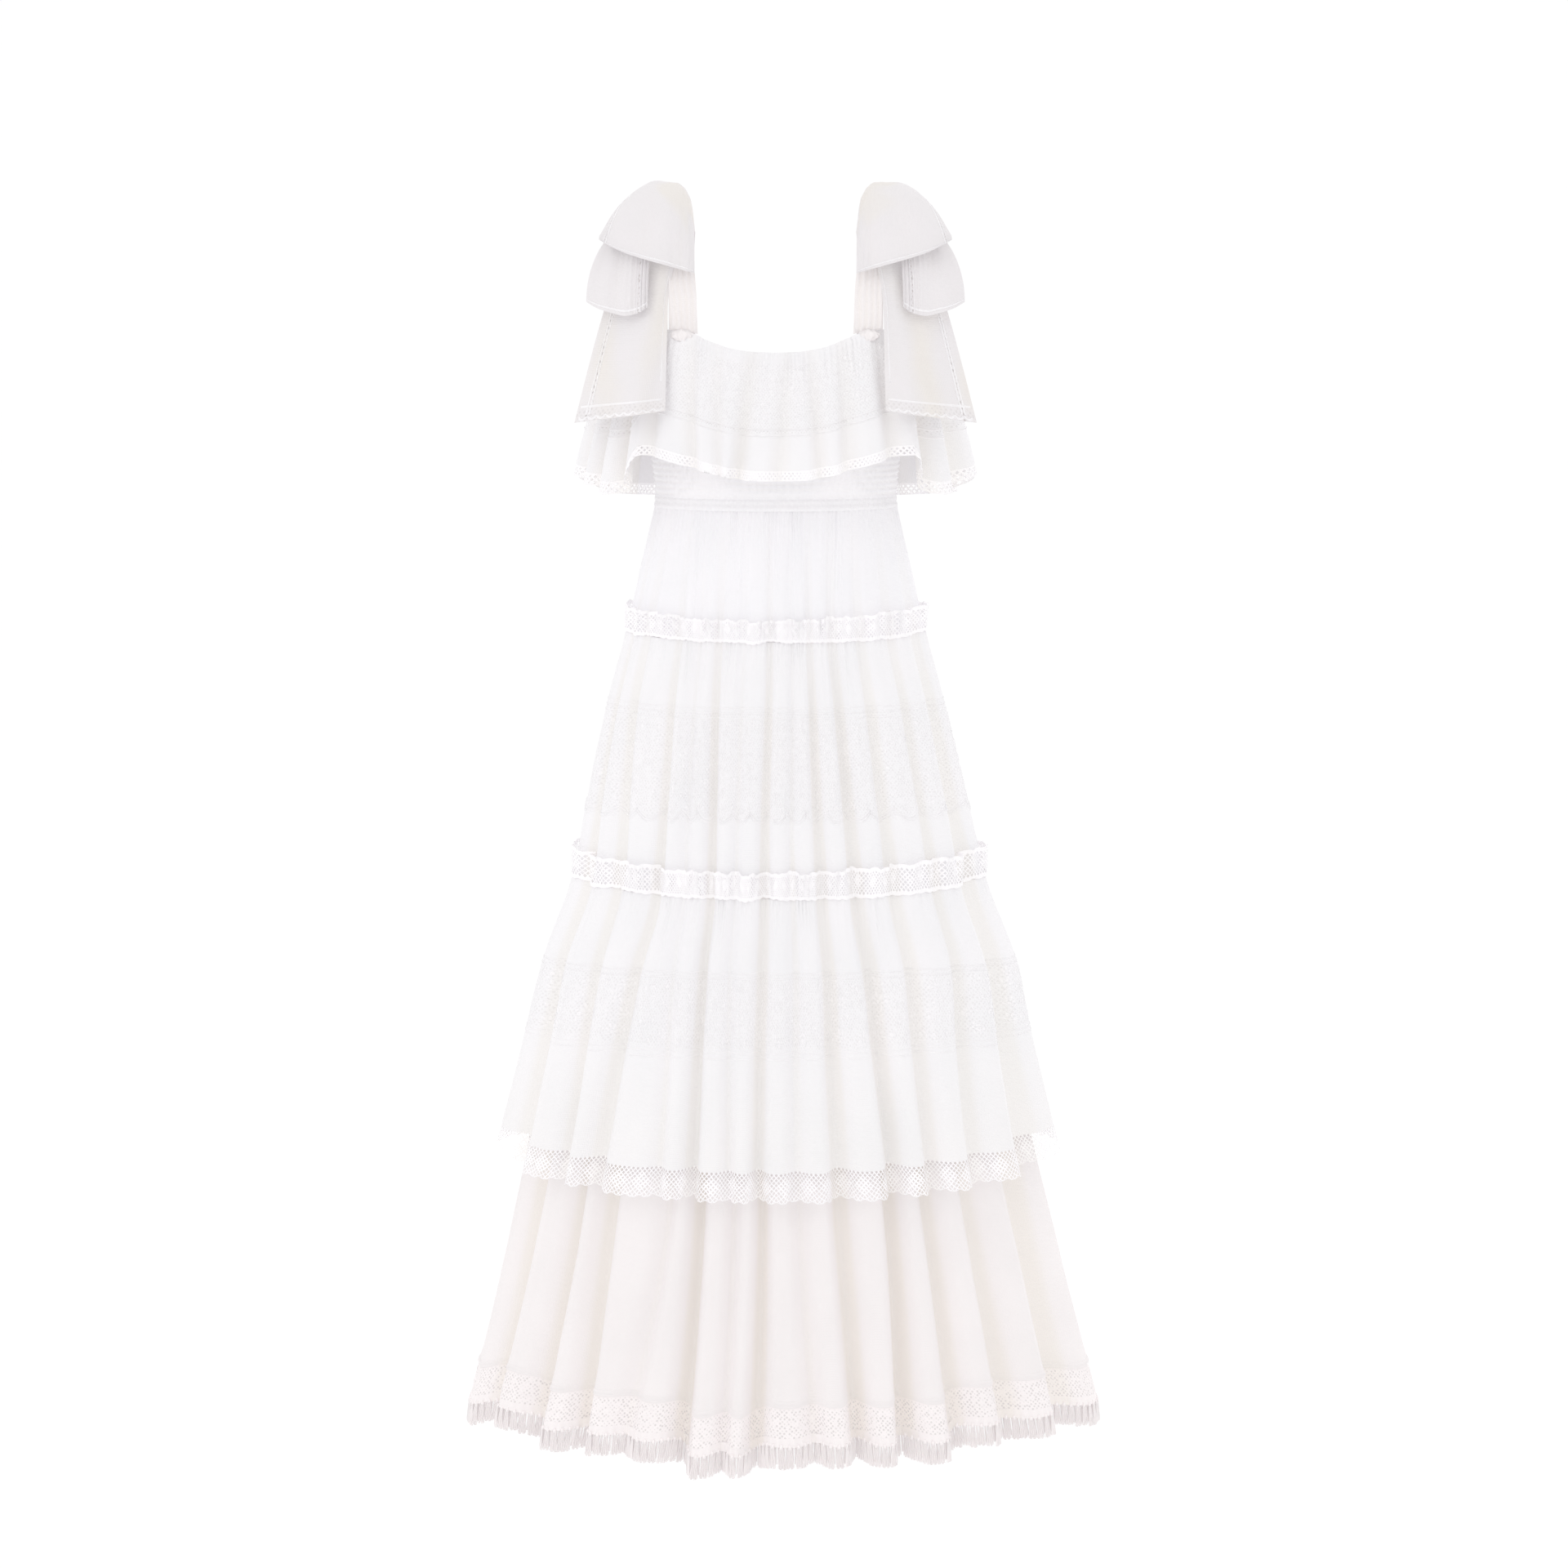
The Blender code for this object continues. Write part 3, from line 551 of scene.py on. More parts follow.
tier_3 = cloth(
    "tier_3_cloth",
    624,
    50,
    TIER_3_CUT,
    on_tier_3,
    ("tier_3_front", "tier_3_back"),
    LACED,
    lambda u, v: LACED_GROUND * in_zone(between(TIER_3, v), INSERTION_3),
)
bm = empty_lace()
top = (TIER_3[0] - INSERTION_3[0]) / (TIER_3[0] - TIER_3[1])
foot = (TIER_3[0] - INSERTION_3[1]) / (TIER_3[0] - TIER_3[1])
for share in (top, top + 0.02, foot, foot + 0.02):
    raise_rib(bm, on_tier_3, 480, lambda t, share=share: (t, share), 0.0015, 0.0007, TIER_3_CUT)
worked = (INSERTION_3[0] - 0.008, INSERTION_3[1] + 0.003)
sprinkle(bm, on_tier_3, worked, TIER_3, TIER_3_CUT, 0.0165, 1.3, 7.1)
insertion_3 = finished(bm, "tier_3_lace_insertion", THREAD)

# Overlay hem lace: a diamond net of cotton thread with lozenges of closer net in it, scalloped below.
# It is sewn under the overlay's hem by its solid top edge.
LACE_3 = (-1.0358, -1.0660)
LACE_3_CUT = (1.98, 0.029)


def evenly(place, steps=2400):
    """Shares round the cloth at equal lengths along its foot, so that lace keeps one pitch there."""
    points = [place(k / steps, 0.5)[0] for k in range(steps + 1)]
    lengths = [0.0]
    for a, b in zip(points, points[1:]):
        lengths.append(lengths[-1] + (b - a).length)

    def share(u):
        goal = min(max(u, 0.0), 1.0) * lengths[-1]
        i = min(max(bisect.bisect_right(lengths, goal) - 1, 0), steps - 1)
        return (i + (goal - lengths[i]) / (lengths[i + 1] - lengths[i])) / steps

    return share


def net(name, columns, rows, cut, place, worked, thread, replaces, material):
    """Lace of diamond cells: worked() gives 0 for open net, 1 for close net and 2 for solid."""
    bm = flat_cloth(columns, rows, cut)
    inner = [edge for edge in bm.edges if len(edge.link_faces) == 2]
    bmesh.ops.poke(bm, faces=bm.faces)
    bmesh.ops.dissolve_edges(bm, edges=inner, use_verts=False)
    cells = ([], [], [])
    for face in bm.faces:
        middle = face.calc_center_median()
        cells[worked((middle.x + 0.5) * cut[0], (0.5 - middle.y) * cut[1])].append(face)
    drape(bm, place)
    bmesh.ops.remove_doubles(bm, verts=bm.verts, dist=0.00002)
    bmesh.ops.inset_individual(bm, faces=cells[0], thickness=0.5 * thread, use_even_offset=True)
    bmesh.ops.inset_individual(bm, faces=cells[1], thickness=0.8 * thread, use_even_offset=True)
    bmesh.ops.delete(bm, geom=cells[0] + cells[1], context="FACES")
    return finished(bm, name, material, replaces)


def lozenges(x, y, pitch, middle, reach):
    """A row of lozenges."""
    return abs(x % pitch - pitch / 2) + abs(y - middle) < reach


def on_lace_3(u, v):
    scallop = 0.003 * abs(math.sin(math.pi * 132 * u)) * v
    point, deep = on_skirt(skirt, share_3(u), between(LACE_3, v), out=-0.0005 * (1 - v))
    return point - Vector((0, 0, scallop)), deep


share_3 = evenly(lambda u, v: on_skirt(skirt, u, between(LACE_3, v)))
# Bleached lace is knotted of matt thread, so bright that it stands out from the voile. Its net is drawn
# 5 mm to a cell, twice the real one.
# Its painted glow is stronger than the voile's, to lift the shade among its fine threads.
LACE = cotton("cotton_lace_net", "#F1EFF1", "#EDEBED", 0.0009, fold_shade_strength=0.2, glow=0.16)
lace_3 = net(
    "tier_3_hem_lace_net",
    396,
    6,
    LACE_3_CUT,
    on_lace_3,
    lambda x, y: 2 if y < 0.0024 else int(lozenges(x, y, 0.0275, 0.0145, 0.0100)),
    0.0011,
    ("tier_3_hem_lace_front", "tier_3_hem_lace_back"),
    LACE,
)

# Fourth tier: plain unbleached voile, sewn inside the second seam and seen below the overlay. Its foot
# is turned up in a narrow hem. The columns are those of the skirt's table.
SKIRT_BELOW = (
    (-0.7420, 0.2293, 0.1631, 0.1651, 0.0104, -0.001, 0.0034),
    (-0.9000, 0.2580, 0.1735, 0.1775, 0.0152, 0.002, 0.0042),
    (-1.0300, 0.2835, 0.1830, 0.1880, 0.0180, 0.004, 0.0050),
    (-1.3260, 0.3535, 0.2160, 0.2200, 0.0262, 0.022, 0.0078),
    (-1.3640, 0.3640, 0.2210, 0.2250, 0.0280, 0.022, 0.0078),
    (-1.3720, 0.3655, 0.2220, 0.2260, 0.0280, 0.022, 0.0078),
    (-1.3940, 0.3675, 0.2250, 0.2290, 0.0288, 0.024, 0.0078),
)
TIER_4 = (-0.7420, -1.3260)
TIER_4_CUT = (2.20, 0.60)
HANGS_FROM, HANG_SPAN = -1.03, 0.296
HEM_TOP = -1.313
under = curves(SKIRT_BELOW)


def on_tier_4(u, v, out=0.0):
    height = between(TIER_4, v)
    hung = max(0.0, (HANGS_FROM - height) / HANG_SPAN)
    hem = 0.0007 if height < HEM_TOP else 0.0
    fine = gathers(u, TIER_4[0] - height, 150, 0.16, 0.0012)
    return on_skirt(under, u, height, out=out + hem + fine, hang=hung)


# Unbleached voile looks a little rosier and darker than the bleached, and gets more painted cream shade in
# its folds.
WARM = cotton("cotton_voile_unbleached_plain_weave", "#E9E4E4", "#E5E0E0", 0.0014, fold_shade_strength=0.28)
tier_4 = cloth("tier_4_cloth", 624, 64, TIER_4_CUT, on_tier_4, ("tier_4_front", "tier_4_back"), WARM)
bm = empty_lace()
raise_rib(bm, on_tier_4, 624, lambda t: (t, 0.9935), 0.0070, 0.0016, (TIER_4_CUT[0], 0.584))
hem_band = finished(bm, "tier_4_hem_band", WARM)

# Lowest hem lace: a fine net with oval rosettes worked in it, sewn to the hem of the fourth tier. Its
# foot is a narrow header with a row of drawn holes, which the fringe hangs from.
LACE_4 = (-1.3250, -1.3590)
LACE_4_CUT = (2.32, 0.034)
HEADER = (-1.3590, -1.3690)
HEADER_CUT = (2.32, 0.010)
HOLES = 256


def rosettes(x, y):
    """Solid oval rings with a solid heart, along the middle of the band."""
    along = x % 0.052 - 0.026
    reach = math.hypot(along / 0.013, (y - 0.0165) / 0.0105)
    return 0.72 < reach < 1.0 or reach < 0.26


def on_lace_4(u, v):
    raised = 0.0007 if rosettes(u * LACE_4_CUT[0], v * LACE_4_CUT[1]) else 0.0
    return on_skirt(under, share_4(u), between(LACE_4, v), out=raised, hang=1.0)


def ground_4(u, v):
    """How open the net is: almost solid in the rosettes and along the top edge."""
    return 0.1 if rosettes(u * LACE_4_CUT[0], v * LACE_4_CUT[1]) or v < 0.07 else 0.62


# Unbleached lace is creamier than the voile over it. Its ground has holes of about 2 mm, too fine to
# cut, which are drawn 3.6 mm apart and sunk.
# Its holes are painted dark grey, the painted shade seen through them, and a stronger painted glow lifts the
# shade among its threads and in the fringe.
WARM_LACE = cotton(
    "cotton_lace_net_unbleached", "#EDE7E7", "#E9E3E3", 0.0009, lace=True, fold_shade_strength=0.28, glow=0.15
)
share_4 = evenly(lambda u, v: on_skirt(under, u, between(LACE_4, v), hang=1.0))
lace_4 = cloth(
    "tier_4_hem_lace_net",
    1160,
    17,
    LACE_4_CUT,
    on_lace_4,
    ("tier_4_hem_lace_front", "tier_4_hem_lace_back"),
    WARM_LACE,
    ground_4,
)

bm = flat_cloth(HOLES, 1, HEADER_CUT)
cells = list(bm.faces)
drape(bm, lambda u, v: on_skirt(under, share_4(u), between(HEADER, v), hang=1.0))
bmesh.ops.remove_doubles(bm, verts=bm.verts, dist=0.00002)
bmesh.ops.inset_individual(bm, faces=cells, thickness=0.0021, use_even_offset=True)
corners = list({vert for face in cells for vert in face.verts})
bmesh.ops.bevel(bm, geom=corners, offset=0.0017, affect="VERTICES", segments=2, profile=0.5, material=-1)
bmesh.ops.delete(bm, geom=[face for face in cells if face.is_valid], context="FACES")
header = finished(bm, "tier_4_lace_header", WARM_LACE)

# Fringe: small tassels of unbleached cotton, one under each hole of the header. Each is a knot over
# seven threads that spread to its foot, and loose threads hang behind them and close the gaps.
TASSEL_TOP, TASSEL_LENGTH = -1.3682, 0.0243
LOOSE_THREADS, LOOSE_FOOT = 3 * HOLES, -1.3890


def add_copy(bm, template):
    """A copy of a small mesh taken into the piece, as its points to be moved into place."""
    start = len(bm.verts)
    bm.from_mesh(template)
    bm.verts.ensure_lookup_table()
    return bm.verts[start:]


tassel = bmesh.new()
for across in range(-3, 4):
    strand = bmesh.ops.create_cone(tassel, segments=3, radius1=0.00085, radius2=0.0007, depth=1.0)
    for vert in strand["verts"]:
        low = 0.5 - vert.co.z
        vert.co.x += across * (0.0005 + 0.0009 * min(1.0, 1.6 * low))
        vert.co.y += 0.0007 * (across % 2)
        vert.co.z = -low * TASSEL_LENGTH * (0.94 + 0.06 * (across * across % 3))
bmesh.ops.create_cone(tassel, cap_ends=True, segments=6, radius1=0.0022, radius2=0.0012, depth=0.005)
template = to_mesh(tassel, "tassel")
bm = empty_lace()
for number in range(HOLES):
    u = share_4((number + 0.5) / HOLES)
    point = on_skirt(under, u, TASSEL_TOP, hang=1.0)[0]
    beside = on_skirt(under, min(1.0, u + 0.0008), TASSEL_TOP, hang=1.0)[0]
    below = on_skirt(under, u, TASSEL_TOP - 0.02, hang=1.0)[0]
    along = (beside - point).to_2d().normalized()
    spread = (below - point) / 0.02
    swing = 0.10 * rough(u, 0, 300, 0, 9.9)
    longer = 1.0 + 0.12 * rough(u, 1, 400, 1, 3.3)
    for vert in add_copy(bm, template):
        x, y, z = vert.co.x, vert.co.y, vert.co.z * longer
        x += swing * z
        vert.co = point + Vector((along.x * x + along.y * y, along.y * x - along.x * y, z))
        vert.co.x -= spread.x * z
        vert.co.y -= spread.y * z
bpy.data.meshes.remove(template)
thread = bmesh.new()
bmesh.ops.create_cone(thread, segments=3, radius1=0.0014, radius2=0.0012, depth=1.0)
template = to_mesh(thread, "thread")
for number in range(LOOSE_THREADS):
    u = share_4((number + 0.5) / LOOSE_THREADS)
    point = on_skirt(under, u, HEADER[0], out=-0.0030, hang=1.0)[0]
    low = on_skirt(under, u, LOOSE_FOOT, out=-0.0022, hang=1.0)[0]
    low.z += 0.0020 * rough(u, 2, 600, 1, 5.1)
    for vert in add_copy(bm, template):
        t = 0.5 - vert.co.z
        vert.co = point + (low - point) * t + Vector((vert.co.x, vert.co.y, 0))
bpy.data.meshes.remove(template)
fringe = finished(bm, "fringe_tassels", WARM_LACE, ("fringe_front", "fringe_back"))

# Seam frills: a gathered heading of the same net lace, sewn into each of two skirt seams. It stands up
# and out from the seam in uneven ruffles, and its foot falls over the tier below.
# Its number, the height of its seam, how tall it is, its mesh columns and its width when flat.
FRILLS = (("1", -0.4710, 0.029, 280, 1.35), ("2", -0.7490, 0.033, 360, 1.80))
for number, seam, tall, columns, wide in FRILLS:

    def on_frill(u, v, seam=seam, tall=tall):
        rising = (1.0 - v) * (1.0 - 0.22 * max(0.0, math.sin(2 * math.pi * u)))
        wave = math.sin(2 * math.pi * (44 * u + 1.4 * rough(u, 0, 20, 0, 6.6)))
        wave += 0.7 * math.sin(2 * math.pi * (101 * u + 1.2 * rough(u, 0, 30, 0, 2.6)))
        out = 0.0026 + 0.0055 * rising + 0.0024 * wave * rising ** 0.6
        point, deep = on_skirt(skirt, u, seam + tall * rising, out=out)
        uneven_top = 0.0050 * rough(u, 0, 64, 0, 4.1) + 0.0022 * abs(math.sin(math.pi * 96 * u)) - 0.001
        uneven_foot = 0.0016 * abs(math.sin(math.pi * 104 * u)) + 0.0030 * rough(u, 0, 40, 0, 7.9)
        point.z += uneven_top * rising - uneven_foot * v ** 3
        # Half the skirt's painted fold shade.
        return point, deep * 0.5

    def frill_stitch(x, y, tall=tall):
        if y < 0.0030 or y > tall - 0.0035:
            return 2
        return int(lozenges(x, y, 0.022, tall * 0.45, 0.0070))

    frill = net(
        f"frill_{number}_lace",
        columns,
        6,
        (wide, tall),
        on_frill,
        frill_stitch,
        0.0012,
        (f"frill_{number}_front", f"frill_{number}_back"),
        LACE,
    )

# Smocked bodice: voile shirred on rows of elastic thread, so that it stands in small ribs between
# them. It rises to the neckline front and back and is cut away under the arms.
# Height, half width, half depth in front and at the back.
BODICE = (
    (-0.1300, 0.1750, 0.1070, 0.1000),
    (-0.1500, 0.1750, 0.1070, 0.1000),
    (-0.2550, 0.1420, 0.1120, 0.1025),
    (-0.2800, 0.1375, 0.1080, 0.1020),
    (-0.2940, 0.1360, 0.1055, 0.1005),
    (-0.3080, 0.1345, 0.1035, 0.0990),
    (-0.3210, 0.1335, 0.1015, 0.0980),
    (-0.3315, 0.1345, 0.1025, 0.1000),
)
# Angle off front centre, height of the neckline, height of the flounce's lace edge.
FLOUNCE_EDGES = (
    (0, -0.162, -0.299),
    (8, -0.161, -0.298),
    (16, -0.157, -0.293),
    (24, -0.149, -0.285),
    (30, -0.1415, -0.279),
    (36, -0.1385, -0.274),
    (42, -0.1370, -0.272),
    (48, -0.138, -0.300),
    (56, -0.141, -0.316),
    (66, -0.144, -0.308),
    (78, -0.148, -0.301),
    (90, -0.150, -0.296),
    (110, -0.152, -0.318),
    (140, -0.162, -0.326),
    (160, -0.184, -0.328),
    (180, -0.196, -0.328),
)
ARMHOLE_START, ARMHOLE_LOW, ELASTIC_ROWS = 36.0, -0.2380, 0.0066
BODICE_FOOT = -0.3210
BODICE_CUT = (0.95, 0.17)
body = curves(BODICE)
neckline, flounce_low = curves(FLOUNCE_EDGES)


def off_front(angle):
    """Degrees from front centre, the same on both sides."""
    return min(angle % 360, 360 - angle % 360)


def on_bodice(u, v):
    angle = -90 + 360 * u
    off = off_front(angle)
    reach = off if off <= 90 else 180 - off
    share = min(1.0, max(0.0, (reach - ARMHOLE_START) / (90 - ARMHOLE_START)))
    top = neckline(off) - 0.002
    top += (ARMHOLE_LOW - top) * math.sin(share * math.pi / 2)
    height = round(top + (BODICE_FOOT - top) * v, 5)
    row = 0.5 - 0.5 * math.cos(2 * math.pi * height / ELASTIC_ROWS)
    rib = 0.5 + 0.5 * math.sin(2 * math.pi * (104 * u + 0.8 * rough(u, height, 40, 40, 1.2)))
    puff = 0.0021 * row * (0.25 + 0.75 * rib)
    half_width, front, back = (column(height) for column in body)
    x, y = oval(angle, half_width + puff, front + puff, back + puff)
    # Painted cream shade in the drawn-in rows between the puffs.
    return Vector((x, y, height)), 0.5 * (1 - row)


# The shirred cloth is thin between its rows, and more light comes through it.
# Its stronger painted glow also lifts the shade under the flounce.
SHIRRED = cotton("cotton_voile_shirred", "#EAE8EB", "#E6E5E8", 0.0014, glow=0.17)
bodice = cloth("smocked_bodice", 520, 56, BODICE_CUT, on_bodice, ("bodice_front", "bodice_back"), SHIRRED)

# Waist casing: a narrow tube of voile over elastic, which draws it up into fine upright gathers. It is
# sewn between the smocking and the first tier.
CASING_TOP, CASING_HEIGHT = -0.3205, 0.0130
CASING_CUT = (0.95, 0.012)


def on_casing(u, v):
    height = CASING_TOP - CASING_HEIGHT * v
    round_out = 0.0013 * abs(math.sin(2 * math.pi * v))
    rib = 0.0006 * math.sin(2 * math.pi * (112 * u + 0.7 * rough(u, 0, 50, 0, 7.7)))
    half_width, front, back = (column(height) for column in body)
    out = round_out + rib + 0.0002
    x, y = oval(-90 + 360 * u, half_width + out, front + out, back + out)
    return Vector((x, y, height)), 0.2


casing = cloth("waist_casing", 560, 6, CASING_CUT, on_casing, ("waist_casing_front", "waist_casing_back"))

# Flounce: one gathered frill of embroidered voile on an elastic neckline, round the bust, over both
# arms and across the back. A corded step parts its lace top from the plain foot.
# The angle of each fold's valley at the neckline and at the hem, and its depth.
FLOUNCE_FOLDS = (
    (-76, -76, 1.4),
    (-64, -64, 1.6),
    (-53, -52, 1.8),
    (-42, -39, 0.9),
    (-30, -24, 0.9),
    (-20, -16, 0.6),
    (-8, -11, 1.2),
    (4, 1, 0.8),
    (12, 13, 0.9),
    (23, 21, 0.9),
    (37, 36, 1.0),
    (52, 51, 1.8),
    (70, 68, 1.6),
    (106, 107, 1.5),
    (122, 123, 1.3),
    (137, 137, 0.9),
    (150, 151, 1.1),
    (163, 162, 0.8),
    (176, 177, 1.1),
    (189, 188, 0.8),
    (202, 203, 1.1),
    (216, 216, 0.9),
    (232, 231, 1.3),
    (252, 252, 1.5),
)
# Half width, half depth in front and at the back.
NECKLINE = (0.180, 0.112, 0.107)
FLOUNCE_HEM = (0.2255, 0.150, 0.148)
# Shares of the way from the neckline to the lace edge.
FLOUNCE_END, STEP = 0.92, 0.60
FLOUNCE_CUT, EDGE_CUT = (1.45, 0.150), (1.95, 0.013)


def on_flounce_at(u, share, out=0.0):
    """Point of the flounce at a share of the way from the neckline to its lace edge."""
    valleys = [row[0] + (row[1] - row[0]) * share for row in FLOUNCE_FOLDS]
    angle, deep = folded(u, valleys, [row[2] for row in FLOUNCE_FOLDS])
    inward = 0.003 * min(1.0, deep) * (1 - share) + deep * 0.014 * share
    edge = 0.0016 * max(0.0, math.sin(math.pi * min(1.0, share / 0.075)))
    fine = gathers(u, share * 0.14, 150, 0.045, 0.0012)
    crease = 0.0012 * rough(u, share, 40, 2, 5.9)
    outward = out + edge + fine + crease - inward
    sizes = [n + (h - n) * share ** 0.8 + outward for n, h in zip(NECKLINE, FLOUNCE_HEM)]
    x, y = oval(angle, *sizes)
    off = off_front(angle)
    height = between((neckline(off), flounce_low(off)), share)
    # Painted shade in its fold valleys, stronger towards the lace edge.
    return Vector((x, y, height)), min(1.0, 0.9 * deep * (0.35 + 0.65 * share))


def on_flounce(u, v, out=0.0):
    return on_flounce_at(u, v * FLOUNCE_END, out)


def flounce_ground(u, v):
    """How open the ground is: net in the lace top, and a ladder of drawn threads at the step."""
    share = v * FLOUNCE_END
    if STEP < share < STEP + 0.025:
        return 0.45
    return LACED_GROUND if 0.08 < share < STEP else 0.0


flounce = cloth(
    "flounce_cloth",
    624,
    36,
    FLOUNCE_CUT,
    on_flounce,
    ("flounce_front", "flounce_back"),
    LACED,
    flounce_ground,
)
bm = empty_lace()
for share in (STEP, STEP + 0.05):
    line = share / FLOUNCE_END
    raise_rib(bm, on_flounce, 480, lambda t, line=line: (t, line), 0.0026, 0.0014, FLOUNCE_CUT)
sprinkle(bm, on_flounce, (-0.0145, -0.0890), (0.0, -0.1500), FLOUNCE_CUT, 0.0150, 1.15, 3.7)
flounce_lace = finished(bm, "flounce_embroidery", THREAD)
flounce_edge = net(
    "flounce_edge_lace",
    264,
    2,
    EDGE_CUT,
    lambda u, v: on_flounce_at(u, between((FLOUNCE_END, 1.0), v)),
    lambda x, y: 2 * int(y < 0.0020),
    0.0020,
    ("flounce_hem_lace_front", "flounce_hem_lace_back"),
    LACE,
)

# Straps and bows: each strap is a gathered tube of voile over the shoulder. A wide sash with a corded
# line and a lace hem is tied round it in two soft loops and two tails, and a knot holds them.
# Step from a loop's inner to its outer edge, x and z of its crest, and x, y and z of its hem.
UPPER_LOOP = (
    (0, 0.0893, -0.030, 0.0873, -0.098, -0.077),
    (1, 0.0938, 0.006, 0.0988, -0.102, -0.074),
    (2, 0.1088, 0.0225, 0.1168, -0.104, -0.069),
    (3, 0.1288, 0.0255, 0.1388, -0.103, -0.063),
    (4, 0.1508, 0.0170, 0.1608, -0.100, -0.056),
    (5, 0.1748, -0.0045, 0.1788, -0.095, -0.048),
    (6, 0.1922, -0.0330, 0.1908, -0.086, -0.041),
)
LOWER_LOOP = (
    (0, 0.1209, 0.0165, 0.1380, -0.097, -0.1130),
    (1, 0.1328, 0.0200, 0.1485, -0.099, -0.1195),
    (2, 0.1450, 0.0150, 0.1630, -0.095, -0.1225),
    (3, 0.1575, 0.0040, 0.1790, -0.092, -0.1190),
    (4, 0.1690, -0.0120, 0.1930, -0.087, -0.1145),
    (5, 0.1770, -0.0320, 0.2055, -0.080, -0.1075),
)
# Step down the tail, y and z of its inner and of its outer edge, x of both edges, and its fold depth.
TAIL = (
    (0, -0.0040, 0.0005, -0.0040, 0.0005, 0.0978, 0.1188, 0.000),
    (1, -0.0160, 0.0003, -0.0150, 0.0003, 0.0978, 0.1290, 0.000),
    (2, -0.0480, -0.0130, -0.0400, -0.0080, 0.0988, 0.1450, 0.000),
    (3, -0.0850, -0.0500, -0.0600, -0.0480, 0.1058, 0.1640, 0.001),
    (4, -0.0920, -0.1150, -0.0640, -0.1120, 0.1168, 0.1858, 0.002),
    (5, -0.1150, -0.1750, -0.0680, -0.1760, 0.1178, 0.2038, 0.006),
    (6, -0.1330, -0.2240, -0.0700, -0.2380, 0.1188, 0.2198, 0.009),
)
# Step along the strap from front to back, its y and z, the x of its middle, and its half width.
STRAP = (
    (0, -0.0920, -0.1375, 0.0983, 0.0115),
    (1, -0.0895, -0.1000, 0.0993, 0.0110),
    (2, -0.0770, -0.0550, 0.1023, 0.0100),
    (3, -0.0480, -0.0170, 0.1068, 0.0105),
    (4, -0.0160, -0.0015, 0.1068, 0.0100),
    (5, 0.0160, -0.0015, 0.1068, 0.0100),
    (6, 0.0480, -0.0170, 0.1068, 0.0105),
    (7, 0.0750, -0.0550, 0.1023, 0.0100),
    (8, 0.0850, -0.1000, 0.0993, 0.0110),
    (9, 0.0865, -0.1600, 0.0988, 0.0115),
)
upper_curves, lower_curves, tail_curves, strap_curves = map(curves, (UPPER_LOOP, LOWER_LOOP, TAIL, STRAP))


def on_loop(columns, last, side, u, v, out=0.0):
    """Loop draped over the shoulder: u runs from its inner to its outer edge, v from front to back."""
    turn = (v - 0.5) * math.pi
    crest_x, crest_z, hem_x, hem_y, hem_z = (column(u * last) for column in columns)
    share = abs(math.sin(turn)) ** 1.5
    pinch = math.exp(-((u / 0.34) ** 2)) * (1.6 if last == 5 else 0.5)
    fold = 0.0016 * math.sin(2 * math.pi * (3.2 * u + 0.25 * math.cos(turn))) * (1.1 - u)
    fold += 0.0011 * pinch * math.sin(2 * math.pi * 13 * u)
    fold += 0.0016 * noise.noise(Vector((u * 4 + v * 3, v * 4 - u * 2, 3.0 * side)))
    reach = 1 + (fold + out) / 0.09
    behind = 0.0065 * (1 - u) * share * (1 if v > 0.5 else 0)
    x = crest_x + (hem_x - crest_x) * share + behind
    z = hem_z + (crest_z - hem_z) * math.cos(turn) * reach
    # Painted shade: a patch below the crest on the inner half, where the knot and the layers under the thin
    # sash shade it, more in the valleys.
    crest = math.exp(-(((u - 0.28) / 0.26) ** 2) - ((abs(v - 0.5) - 0.12) / 0.14) ** 2)
    shade = min(1.0, max(0.0, 3 * crest - 1.1 + 1.6 * noise.noise(Vector((u * 5, v * 7, side)))))
    return Vector((side * x, -hem_y * math.sin(turn) * reach, z)), min(1.0, max(0.0, shade - 60 * fold))


def on_tail(side, facing, u, v, out=0.0):
    """Tail from the knot down to its hem: u runs from its inner to its outer edge, v down."""
    inner_y, inner_z, outer_y, outer_z, inner_x, outer_x, fold = (column(6 * v) for column in tail_curves)
    across = inner_x + (outer_x - inner_x) * u + (0.0065 * (1 - u) * min(1.0, 2 * v) if facing < 0 else 0)
    bulge = 0.35 * (outer_y - inner_y) * math.sin(math.pi * u)
    bend = fold * math.cos(3 * math.pi * u) * 0.8
    valley = v * math.exp(-(((u - 0.22 - 0.30 * v) / 0.12) ** 2))
    crease = 0.0060 * valley + 0.0012 * noise.noise(Vector((u * 9, v * 6, 2.0 * side + facing)))
    y = inner_y + (outer_y - inner_y) * u - bulge + bend + crease - out
    z = inner_z + (outer_z - inner_z) * u
    # Painted shade along the valley, over a random cream tone.
    cream = noise.noise(Vector((u * 3, v * 5, side)))
    return Vector((side * across, facing * y, z)), min(1.0, max(0.0, 0.35 * valley + 0.2 + cream))


